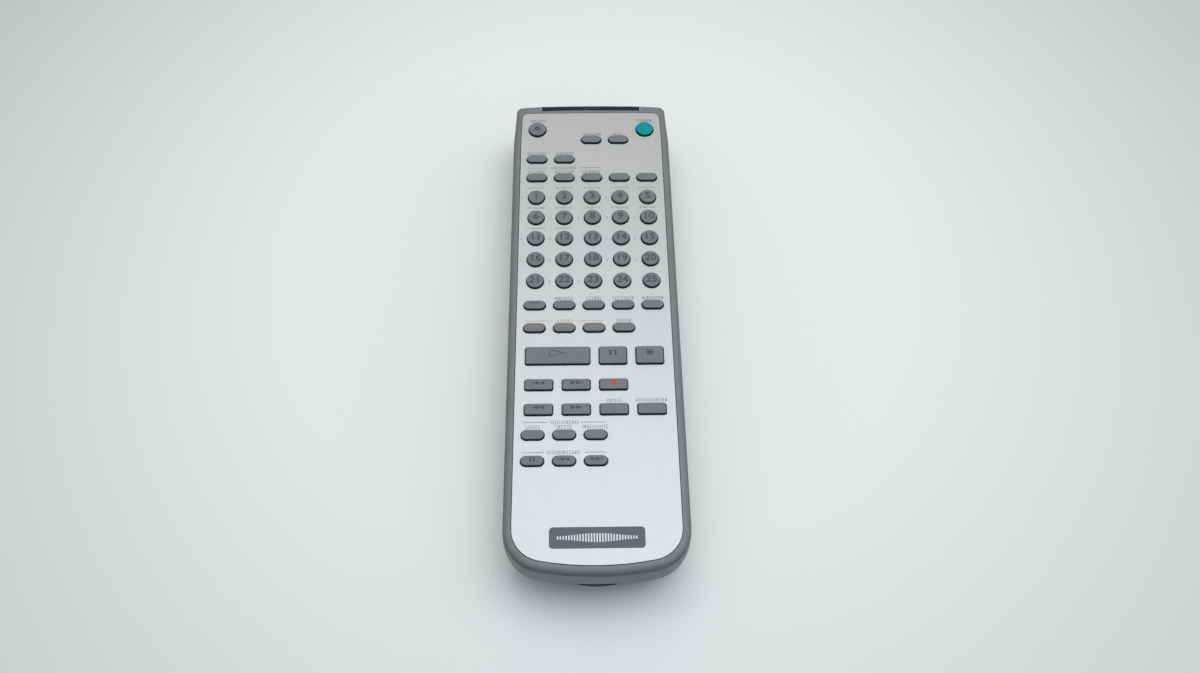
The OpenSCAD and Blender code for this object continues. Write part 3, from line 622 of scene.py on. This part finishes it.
def make_keys():
    """A cap stands for every key, and the five caps of a number row are one piece."""
    key_row = row_tree()
    for node in KEY_NODES:
        lo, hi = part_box(node)
        x, y, top = spot(node)
        width, height = (hi[k] - lo[k] - 2 * FLANGE_W for k in (0, 1))
        if node in NUMBER_ROWS:
            cap = from_bmesh("cap", key_cap(height, height, height / 2, lo[2], top, ROUND_STEPS))
            places, pitch = number_places(node)
            mesh = grown(node + "_caps", cap, key_row, Count=ROW_KEYS, Pitch=pitch,
                         First=(*places[0], 0.0), Finish=RUBBER)
        else:
            square = node in SQUARE_KEYS
            radius = SQUARE_R if square else height / 2 - PILL_SPARE
            bm = key_cap(width, height, radius, lo[2], top, SQUARE_STEPS if square else ROUND_STEPS)
            bmesh.ops.translate(bm, verts=bm.verts, vec=(x, y, 0))
            mesh = from_bmesh(node + "_cap", bm)
        finish = TEAL if node == "key_power" else RUBBER
        piece = add_piece(mesh.name, mesh, BODY_OF[node], finish)
        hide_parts(node)


# ---------------------------------------------------------------- printing

FIGURE_SIZE = 3.5 * MM
FIGURE_MERGE = 0.02 * MM
FIGURE_BOLD = 0.07 * MM
FIGURE_STRETCH = 1.12
FIGURE_UP = 0.1 * MM


def joined(parts):
    """One bmesh of several."""
    bm = bmesh.new()
    for part in parts:
        mesh = bpy.data.meshes.new("part")
        part.to_mesh(mesh)
        part.free()
        bm.from_mesh(mesh)
        bpy.data.meshes.remove(mesh)
    return bm


def printed(outlines, top):
    """Flat outlines as one thin print on a surface at height top."""
    return joined([prism(outline, top - INK_SINK, top + INK_T) for outline in outlines])


def widen(bm, by):
    """Moves the outline of a flat print outward, in mitres, to make its strokes bolder."""
    moves = []
    for vert in bm.verts:
        outs = []
        for edge in vert.link_edges:
            if len(edge.link_faces) == 1:
                start, end = (v.co for v in edge.verts)
                out = Vector((end.y - start.y, start.x - end.x, 0)).normalized()
                inside = edge.link_faces[0].calc_center_median() - start
                outs.append(-out if out.dot(inside) > 0 else out)
        if len(outs) == 2:
            moves.append((vert, (outs[0] + outs[1]) * by / (1 + outs[0].dot(outs[1]))))
    for vert, move in moves:
        vert.co += move


def figures(text, x, y, top):
    """A number as a thin raised print, centred at x, y."""
    curve = bpy.data.curves.new("figures", "FONT")
    curve.body = text
    curve.size = FIGURE_SIZE
    curve.align_x = curve.align_y = "CENTER"
    mesh = evaluated("figures", carried(curve))
    bm = bmesh.new()
    bm.from_mesh(mesh)
    bpy.data.meshes.remove(mesh)
    bmesh.ops.remove_doubles(bm, verts=bm.verts, dist=FIGURE_MERGE)
    widen(bm, FIGURE_BOLD)
    raised = bmesh.ops.extrude_face_region(bm, geom=bm.faces[:])["geom"]
    bmesh.ops.translate(bm, verts=[v for v in raised if isinstance(v, bmesh.types.BMVert)],
                        vec=(0, 0, INK_T + INK_SINK))
    bmesh.ops.recalc_face_normals(bm, faces=bm.faces)
    bmesh.ops.scale(bm, verts=bm.verts, vec=(FIGURE_STRETCH, 1, 1))
    bmesh.ops.translate(bm, verts=bm.verts, vec=(x, y, top - INK_SINK))
    return bm


def make_numbers():
    """The numbers 1 to 25, one piece for each row of keys."""
    for node, first in NUMBER_ROWS.items():
        top = key_top(node)
        parts = [figures(str(first + c), x, y + FIGURE_UP, top)
                 for c, (x, y) in enumerate(number_places(node)[0])]
        name = f"numbers_{first}_to_{first + ROW_KEYS - 1}"
        mesh = from_bmesh(name, joined(parts), smooth=False)
        add_piece(name, mesh, BODY_OF[node], KEY_INK)


DOT_STEPS = 32
END_BAR_OFF = 0.16 * MM
END_BAR_W = 0.26 * MM


def bar(x, y, w, h):
    """Rectangle about x, y."""
    return [(x - w / 2, y - h / 2), (x + w / 2, y - h / 2), (x + w / 2, y + h / 2), (x - w / 2, y + h / 2)]


def triangle(x, y, w, h, way):
    """Arrow head that points along X, forward where way is 1."""
    points = [(x - way * w / 2, y - h / 2), (x + way * w / 2, y), (x - way * w / 2, y + h / 2)]
    return points if way > 0 else list(reversed(points))


def stop_square(x, y, w, h):
    """One rectangle."""
    return [bar(x, y, w, h)]


def two_bars(x, y, off, w, h):
    """Upright bars, their middles off to either side of x."""
    return [bar(x - off, y, w, h), bar(x + off, y, w, h)]


def record_dot(x, y, r):
    """Filled circle."""
    turns = [2 * math.pi * k / DOT_STEPS for k in range(DOT_STEPS)]
    return [[(x + r * math.cos(turn), y + r * math.sin(turn)) for turn in turns]]


def open_tray(x, y, w, h, up, bar_down, bar_h):
    """Triangle that points away from the holder, over a bar."""
    tip = [(x - w / 2, y + up - h / 2), (x + w / 2, y + up - h / 2), (x, y + up + h / 2)]
    return [tip, bar(x, y - bar_down, w, bar_h)]


def hollow_arrow(x, y, w, h, t):
    """Outline of an arrow head as three strokes that meet in mitres."""
    outer = [Vector(p) for p in triangle(x, y, w, h, 1)]
    inner = []
    for k, corner in enumerate(outer):
        before = (corner - outer[k - 1]).normalized()
        after = (outer[(k + 1) % 3] - corner).normalized()
        out = Vector((before.y + after.y, -before.x - after.x))
        inner.append(corner - out * t / (1 + before.dot(after)))
    return [[tuple(p) for p in (outer[k - 1], outer[k], inner[k], inner[k - 1])] for k in range(3)]


def arrows(way, stop=False):
    """Shape of two arrow heads, with a stroke at the end where stop is set."""
    def shape(x, y, w, h):
        shapes = [triangle(x - w / 4, y, w / 2, h, way), triangle(x + w / 4, y, w / 2, h, way)]
        if stop:
            shapes.append(bar(x + way * (w / 2 + END_BAR_OFF), y, END_BAR_W, h))
        return shapes
    return shape


# Ink, distance ahead of the key's centre, shape and its sizes, in millimetres.
MARKS = {
    "key_play": (KEY_INK, 0.75, hollow_arrow, (5.3, 2.6, 0.24)),
    "key_pause": (KEY_INK, 0.75, two_bars, (0.76, 0.8, 1.9)),
    "key_stop": (KEY_INK, 0.75, stop_square, (2.05, 1.8)),
    "key_skip_back": (KEY_INK, 0.45, arrows(-1, stop=True), (3.6, 1.5)),
    "key_skip_forward": (KEY_INK, 0.45, arrows(1, stop=True), (3.6, 1.5)),
    "key_rewind": (KEY_INK, 0.45, arrows(-1), (3.6, 1.5)),
    "key_fast_forward": (KEY_INK, 0.45, arrows(1), (3.6, 1.5)),
    "key_record": (RED_INK, 0.45, record_dot, (0.92,)),
    "key_eject": (KEY_INK, 0.3, open_tray, (2.6, 1.4, 0.35, 0.85, 0.5)),
    "key_g1": (KEY_INK, 0.3, two_bars, (0.52, 0.58, 1.4)),
    "key_g2": (KEY_INK, 0.3, arrows(-1, stop=True), (3.2, 1.2)),
    "key_g3": (KEY_INK, 0.3, arrows(1, stop=True), (3.2, 1.2)),
}


def make_marks():
    """The symbols on the keys."""
    for node, (ink, ahead, shape, sizes) in MARKS.items():
        x, y, top = spot(node)
        bm = printed(shape(x, y + ahead * MM, *(size * MM for size in sizes)), top)
        name = node.replace("key_", "mark_")
        add_piece(name, from_bmesh(name, bm, smooth=False), BODY_OF[node], ink)


def dash_tree():
    """Geometry Nodes: a thin printed dash on every point, as wide and tall as its size attribute."""
    tree, given, result = new_tree("printed_dashes", Thickness="Float", Ink="Material")
    new, link = tree.nodes.new, tree.links.new
    size = new("GeometryNodeInputNamedAttribute")
    size.data_type = "FLOAT_VECTOR"
    size.inputs["Name"].default_value = "size"
    split, join = new("ShaderNodeSeparateXYZ"), new("ShaderNodeCombineXYZ")
    block, lay = new("GeometryNodeMeshCube"), new("GeometryNodeInstanceOnPoints")
    real, paint = new("GeometryNodeRealizeInstances"), new("GeometryNodeSetMaterial")
    block.inputs["Size"].default_value = (1, 1, 1)
    link(size.outputs["Attribute"], split.inputs["Vector"])
    link(split.outputs["X"], join.inputs["X"])
    link(split.outputs["Y"], join.inputs["Y"])
    link(given.outputs["Thickness"], join.inputs["Z"])
    link(given.outputs["Geometry"], lay.inputs["Points"])
    link(block.outputs["Mesh"], lay.inputs["Instance"])
    link(join.outputs["Vector"], lay.inputs["Scale"])
    link(lay.outputs["Instances"], real.inputs["Geometry"])
    link(real.outputs["Geometry"], paint.inputs["Geometry"])
    link(given.outputs["Ink"], paint.inputs["Material"])
    link(paint.outputs["Geometry"], result.inputs["Geometry"])
    return tree


DASHES = dash_tree()


def print_dashes(name, marks, ink, body, slot):
    """Marks are (x, y, z, width, height)."""
    mesh = bpy.data.meshes.new("spots")
    mesh.from_pydata([(m[0], m[1], m[2] + (INK_T - INK_SINK) / 2) for m in marks], [], [])
    size = mesh.attributes.new("size", "FLOAT_VECTOR", "POINT")
    size.data.foreach_set("vector", [v for m in marks for v in (m[3], m[4], 1.0)])
    made = grown(name, mesh, DASHES, Thickness=INK_T + INK_SINK, Ink=ink)
    add_piece(name, made, body, ink)


DRAWN = random.Random(24)
STROKE_W = 0.17 * MM
PAIR_W = 0.5 * MM
RUNG_W = 0.56 * MM
STROKE_GAP = 0.36 * MM
LAST_GAP = 0.2 * MM
CAPTION_H = 1.15 * MM


def caption(x, y, z, width, height=CAPTION_H):
    """A row of short upright and level strokes, width metres long."""
    marks, at = [], x - width / 2
    while at < x + width / 2 - LAST_GAP:
        w = DRAWN.choice((STROKE_W, PAIR_W, RUNG_W))
        middle = at + w / 2
        if w == STROKE_W:
            marks.append((middle, y, z, STROKE_W, height))
        elif DRAWN.random() < 0.5:
            marks += [(middle + side * (w - STROKE_W) / 2, y, z, STROKE_W, height) for side in (-1, 1)]
        else:
            marks += [(middle, y + side * (height - STROKE_W) / 2, z, w, STROKE_W) for side in (-1, 0, 1)]
        at += w + STROKE_GAP
    return marks


# Height of the captions over their keys' centres, and the length of each, in millimetres.
CAPTIONS = (
    (2.75, {"key_a3": 6.0, "key_a4": 3.4, "key_b1": 6.6, "key_b2": 6.2, "key_c1": 6.2, "key_c2": 6.2,
            "key_c3": 6.4, "key_d2": 6.2, "key_d3": 4.8, "key_d4": 6.8, "key_d5": 6.6, "key_e4": 4.6,
            "key_f1": 4.6, "key_f2": 5.2, "key_f3": 7.8}),
    (3.1, {"key_wide_3": 4.8, "key_wide_4": 9.8}),
    (4.3, {"key_eject": 5.4, "key_power": 5.4}),
)
# First and last key under a heading, its height over their centres and its length, in millimetres.
HEADINGS = (("key_c1", "key_c3", 4.5, 9.0), ("key_e1", "key_e3", 2.75, 5.6),
            ("key_f1", "key_f3", 4.3, 8.2), ("key_g1", "key_g3", 2.85, 10.2))
ROSE_KEYS = ("key_e1", "key_e2", "key_e3")
HEADING_REACH = 3.2 * MM
HEADING_GAP = 1.2 * MM
RULE_T = 0.16 * MM
# Faint captions left of and over the number keys: the last key that has one, its place from that
# key's centre, its length and its height, in millimetres.
FAINT_CAPTIONS = ((23, -4.85, -0.1, 0.6, 0.75), (12, 0, 4.3, 5.8, 0.7))
# Ink of the captions on the keys themselves, distance ahead of the centre, length and height.
KEY_CAPTIONS = {node: (ROSE_INK, 0.3, 3.6, 0.75) for node in ROSE_KEYS}
KEY_CAPTIONS["key_d1"] = (KEY_INK, 0.6, 3.4, 0.8)


def number_captions(z):
    """The faint captions, key by key."""
    marks = []
    for node, first in NUMBER_ROWS.items():
        for number, (x, y) in enumerate(number_places(node)[0], first):
            for last, across, up, length, height in FAINT_CAPTIONS:
                if number <= last:
                    marks += caption(x + across * MM, y + up * MM, z, length * MM, height * MM)
    return marks


def make_captions():
    """Rows of strokes over the keys, between the rules of the headings and on four keys."""
    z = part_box("face_panel")[1][2]
    panel = ("case", SLOT_OF["face_panel"])
    grey, rose = [], []
    for up, lengths in CAPTIONS:
        for node, length in lengths.items():
            x, y, _ = spot(node)
            grey += caption(x, y + up * MM, z, length * MM)
    for first, last, up, length in HEADINGS:
        store = rose if first in ROSE_KEYS else grey
        left, right = spot(first)[0] - HEADING_REACH, spot(last)[0] + HEADING_REACH
        y = spot(first)[1] + up * MM
        store.extend(caption((left + right) / 2, y, z, length * MM))
        rule = (right - left) / 2 - length / 2 * MM - HEADING_GAP
        store.extend((x, y, z, rule, RULE_T) for x in (left + rule / 2, right - rule / 2))
    faint = number_captions(z)
    print_dashes("panel_captions", grey, INK, *panel)
    print_dashes("panel_faint_captions", faint, FAINT_INK, *panel)
    print_dashes("panel_rose_captions", rose, ROSE_INK, *panel)
    for node, (ink, up, length, height) in KEY_CAPTIONS.items():
        x, y, top = spot(node)
        marks = caption(x, y + up * MM, top, length * MM, height * MM)
        print_dashes(node.replace("key_", "caption_"), marks, ink, BODY_OF[node], SLOT_OF[node])


PLATE_Y = -77.2 * MM
PLATE_W, PLATE_H, PLATE_R = 28.0 * MM, 6.5 * MM, 1.2 * MM
PLATE_STEPS = 8
PLATE_STROKES = 14
PLATE_PITCH = 0.82 * MM
PLATE_STROKE_W = 0.4 * MM
PLATE_STROKE_H, PLATE_STROKE_RISE = 0.9 * MM, 1.8 * MM


def make_plate():
    """Dark printed plate at the near end, with a row of upright strokes that is tallest in the middle."""
    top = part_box("face_panel")[1][2]
    outline = [(x, y + PLATE_Y) for x, y in rounded_outline(PLATE_W, PLATE_H, PLATE_R, PLATE_STEPS)]
    plate = from_bmesh("dark_plate", printed([outline], top), smooth=False)
    add_piece("dark_plate", plate, "case", SLATE)
    marks = []
    for k in range(-PLATE_STROKES, PLATE_STROKES + 1):
        rise = PLATE_STROKE_RISE * math.cos(math.pi / 2 * k / (PLATE_STROKES + 1)) ** 2
        marks.append((k * PLATE_PITCH, PLATE_Y, top + INK_T, PLATE_STROKE_W, PLATE_STROKE_H + rise))
    print_dashes("plate_strokes", marks, WHITE_INK, "case", SLOT_OF["face_panel"])


# ---------------------------------------------------------------- seams

OUTLINE_STEP = 1.5 * MM


def cut_loops(node, z):
    """The closed lines in which a CAD node is cut at height z."""
    bm = joined_cad(node)
    cut = cut_across(bm, (0, 0, z), (0, 0, 1))
    edges = {e for e in cut["geom_cut"] if isinstance(e, bmesh.types.BMEdge)}
    loops = []
    while edges:
        edge = edges.pop()
        start, at = edge.verts
        loop = [start.co.copy()]
        while at is not start:
            loop.append(at.co.copy())
            edge = next((e for e in at.link_edges if e in edges), None)
            if edge is None:
                break
            edges.discard(edge)
            at = edge.other_vert(at)
        loops.append(loop)
    bm.free()
    return loops


def outline_of(node, z):
    """Outermost outline of a case piece at height z, with the far corners of the real case."""
    loop = max(cut_loops(node, z), key=lambda one: max(p.x for p in one) + max(p.y for p in one))
    fine = []
    for p, q in zip(loop, loop[1:] + loop[:1]):
        pieces = max(1, math.ceil((q - p).length / OUTLINE_STEP))
        fine += [p.lerp(q, k / pieces) for k in range(pieces)]
    points = [Vector(shouldered(p)[:2]) for p in fine]
    area = sum(p.x * q.y - q.x * p.y for p, q in zip(points, points[1:] + points[:1]))
    return points if area > 0 else list(reversed(points))


def band(points, inward, outward, low, high):
    """Solid ring along an anticlockwise outline."""
    n = len(points)
    out = []
    for k in range(n):
        along = points[(k + 1) % n] - points[k - 1]
        out.append(Vector((along.y, -along.x)).normalized())
    bm = bmesh.new()
    rows = []
    for reach, z in ((-inward, low), (outward, low), (outward, high), (-inward, high)):
        rows.append([bm.verts.new((*(p + o * reach), z)) for p, o in zip(points, out)])
    for row, following in zip(rows, rows[1:] + rows[:1]):
        for k in range(n):
            bm.faces.new((row[k], row[(k + 1) % n], following[(k + 1) % n], following[k]))
    bmesh.ops.recalc_face_normals(bm, faces=bm.faces)
    return bm


SEAM_IN, SEAM_OUT = 0.02 * MM, 0.24 * MM
SEAM_HIGH, SEAM_LINE, SEAM_LOW = 0.07 * MM, 0.05 * MM, 0.4 * MM


def make_panel_seam():
    """Painted shade: a dark strip in the gap between the silver panel and the rim, its sizes measured down
    from the panel's face.
    """
    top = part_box("face_panel")[1][2]
    outline = outline_of("face_panel", top - SEAM_LINE)
    bm = band(outline, SEAM_IN, SEAM_OUT, top - SEAM_LOW, top - SEAM_HIGH)
    add_piece("panel_seam", from_bmesh("panel_seam", bm, smooth=False), "case", SEAM)


LATCH_W = 11.4 * MM
LATCH_LOW, LATCH_HIGH = 11.6 * MM, 13.1 * MM
LATCH_DISH_R = 14 * MM
LATCH_STEPS = 32
GAP_DEPTH = 1.2 * MM
GAP_INSET = 0.01 * MM
NEAR_ARC_R = 95 * MM


def make_finger_gap():
    """Painted shade: a dark solid standing for the shade inside the finger gap over the latch tongue of the
    battery cover.
    """
    front = cad_box[0][1] + GAP_INSET
    rings = []
    for k in range(LATCH_STEPS + 1):
        x = LATCH_W * (k / LATCH_STEPS - 0.5)
        y = front + x * x / (2 * NEAR_ARC_R)
        low = LATCH_LOW + LATCH_DISH_R - math.sqrt(LATCH_DISH_R ** 2 - x * x)
        back = y + GAP_DEPTH
        rings.append([(x, back, low), (x, back, LATCH_HIGH), (x, y, LATCH_HIGH), (x, y, low)])
    gap = from_bmesh("finger_gap", skinned(rings), smooth=False)
    add_piece("finger_gap", gap, "case", SEAM)


# ---------------------------------------------------------------- the remote control

SKINNED = ("lower_case", "upper_case", "battery_cover", "face_panel", "ir_window")

for node in SKINNED:
    smooth_copy(node, flat=node == "face_panel")
make_keys()
for node, finish in FINISH_OF.items():
    if node not in SKINNED:
        materials = frame["nodes"][node].data.materials
        materials.clear()
        materials.append(finish)
make_numbers()
make_marks()
make_captions()
make_plate()
make_panel_seam()
make_finger_gap()


# ---------------------------------------------------------------- floor, light, camera

# Metres: half the floor's side, and how far from its middle it is still light and fully dim.
FLOOR_SIZE = 6
FLOOR_MIDDLE = (0.0, 0.03, 0.0)
FLOOR_LIGHT_R, FLOOR_DIM_R = 0.11, 0.28


def make_floor():
    """Pale floor with a painted pool of light round the object, dimmer away from it."""
    finish = Finish("pale_floor", (0.82, 0.825, 0.82), 0.7, Specular_IOR_Level=0.2)
    away = finish.node("ShaderNodeVectorMath", operation="DISTANCE")
    finish.link(finish.place, away.inputs[0])
    away.inputs[1].default_value = FLOOR_MIDDLE
    dim = finish.spread(away.outputs["Value"], FLOOR_LIGHT_R, FLOOR_DIM_R, 0, 1)
    finish.colour_from(finish.blend_colours(dim, (0.88, 0.87, 0.84), (0.61, 0.605, 0.585)))
    finish.bump(finish.noise(4 * MM, 4), 0.05, 0.02 * MM)
    bm = bmesh.new()
    bmesh.ops.create_grid(bm, x_segments=2, y_segments=2, size=FLOOR_SIZE)
    floor = bpy.data.objects.new("floor", from_bmesh("floor", bm, smooth=False))
    floor.data.materials.append(finish.material)
    bpy.context.scene.collection.objects.link(floor)


def soft_lamp(name, place, size, power, colour):
    """Rectangular lamp that is turned to the origin."""
    lamp = bpy.data.lights.new(name, "AREA")
    lamp.shape = "RECTANGLE"
    lamp.size, lamp.size_y = size
    lamp.energy = power
    lamp.color = colour
    holder = bpy.data.objects.new(name, lamp)
    holder.location = place
    holder.rotation_euler = (-Vector(place)).to_track_quat("-Z", "Y").to_euler()
    bpy.context.scene.collection.objects.link(holder)


# The dome's colours by height, and how they are tinted by closeness to the far upper sky.
DOME_STRENGTH = 1.02
FAR_SKY = (0.0, 0.72, 0.69)
DOME_BY_HEIGHT = ((0.5, (0.44, 0.44, 0.44)), (0.97, (0.83, 0.905, 1.0)))
DOME_BY_SIDE = ((0.0, (0.38, 0.4, 0.45)), (0.3, (1, 1, 1)), (0.8, (1, 1, 1)), (1.0, (1.0, 0.86, 0.56)))


def make_dome():
    """World light: bright and cool overhead, warm in the far upper sky, dim low down at the near side."""
    world = bpy.data.worlds.new("studio")
    world.use_nodes = True
    nodes, link = world.node_tree.nodes, world.node_tree.links.new

    def ramp_of(value, stops):
        """A colour ramp on value, with stops of position and colour."""
        made = nodes.new("ShaderNodeValToRGB")
        elements = made.color_ramp.elements
        elements[0].position, elements[1].position = stops[0][0], stops[-1][0]
        for position, _ in stops[1:-1]:
            elements.new(position)
        for element, (_, colour) in zip(elements, stops):
            element.color = (*colour, 1)
        link(value, made.inputs["Fac"])
        return made.outputs["Color"]

    way = nodes.new("ShaderNodeTexCoord").outputs["Generated"]
    split = nodes.new("ShaderNodeSeparateXYZ")
    link(way, split.inputs["Vector"])
    toward = nodes.new("ShaderNodeVectorMath")
    toward.operation = "DOT_PRODUCT"
    toward.inputs[1].default_value = FAR_SKY
    link(way, toward.inputs[0])
    both = nodes.new("ShaderNodeMix")
    both.data_type, both.blend_type = "RGBA", "MULTIPLY"
    both.inputs["Factor"].default_value = 1
    link(ramp_of(split.outputs["Z"], DOME_BY_HEIGHT), both.inputs[6])
    link(ramp_of(toward.outputs["Value"], DOME_BY_SIDE), both.inputs[7])
    shade = nodes["Background"]
    shade.inputs["Strength"].default_value = DOME_STRENGTH
    link(both.outputs[2], shade.inputs["Color"])
    bpy.context.scene.world = world


# Millimetres from the part's origin, and degrees.
CAMERA_PLACE = (-3.937, -185.99, 326.66)
CAMERA_DOWN, CAMERA_TURN, CAMERA_ROLL = 59.93, -1.888, 1.140
LENS_LENGTH, SENSOR_W = 32.93, 36


def make_camera():
    """The view of the photograph."""
    down, turn, roll = (math.radians(a) for a in (CAMERA_DOWN, CAMERA_TURN, CAMERA_ROLL))
    swing = Matrix.Rotation(turn, 3, "Z")
    forward = swing @ Vector((0, math.cos(down), -math.sin(down)))
    across = swing @ Vector((1, 0, 0))
    up = across.cross(forward)
    right = across * math.cos(roll) + up * math.sin(roll)
    top = up * math.cos(roll) - across * math.sin(roll)
    lens = bpy.data.cameras.new("camera")
    lens.sensor_width = SENSOR_W
    lens.lens = LENS_LENGTH
    lens.clip_start, lens.clip_end = 0.01, 50
    camera = bpy.data.objects.new("camera", lens)
    turned = Matrix((right, top, -forward)).transposed()
    camera.matrix_world = Matrix.Translation(Vector(CAMERA_PLACE) * MM) @ turned.to_4x4()
    bpy.context.scene.collection.objects.link(camera)
    bpy.context.scene.camera = camera


make_floor()
make_dome()
soft_lamp("overhead", (0.2, 0.3, 1.5), (1.6, 1.0), 10.5, (0.875, 0.935, 1))
soft_lamp("side_fill", (1.3, 0.2, 0.9), (0.8, 0.8), 1.5, (0.96, 0.98, 1))
make_camera()
bpy.context.scene.view_settings.view_transform = "Standard"
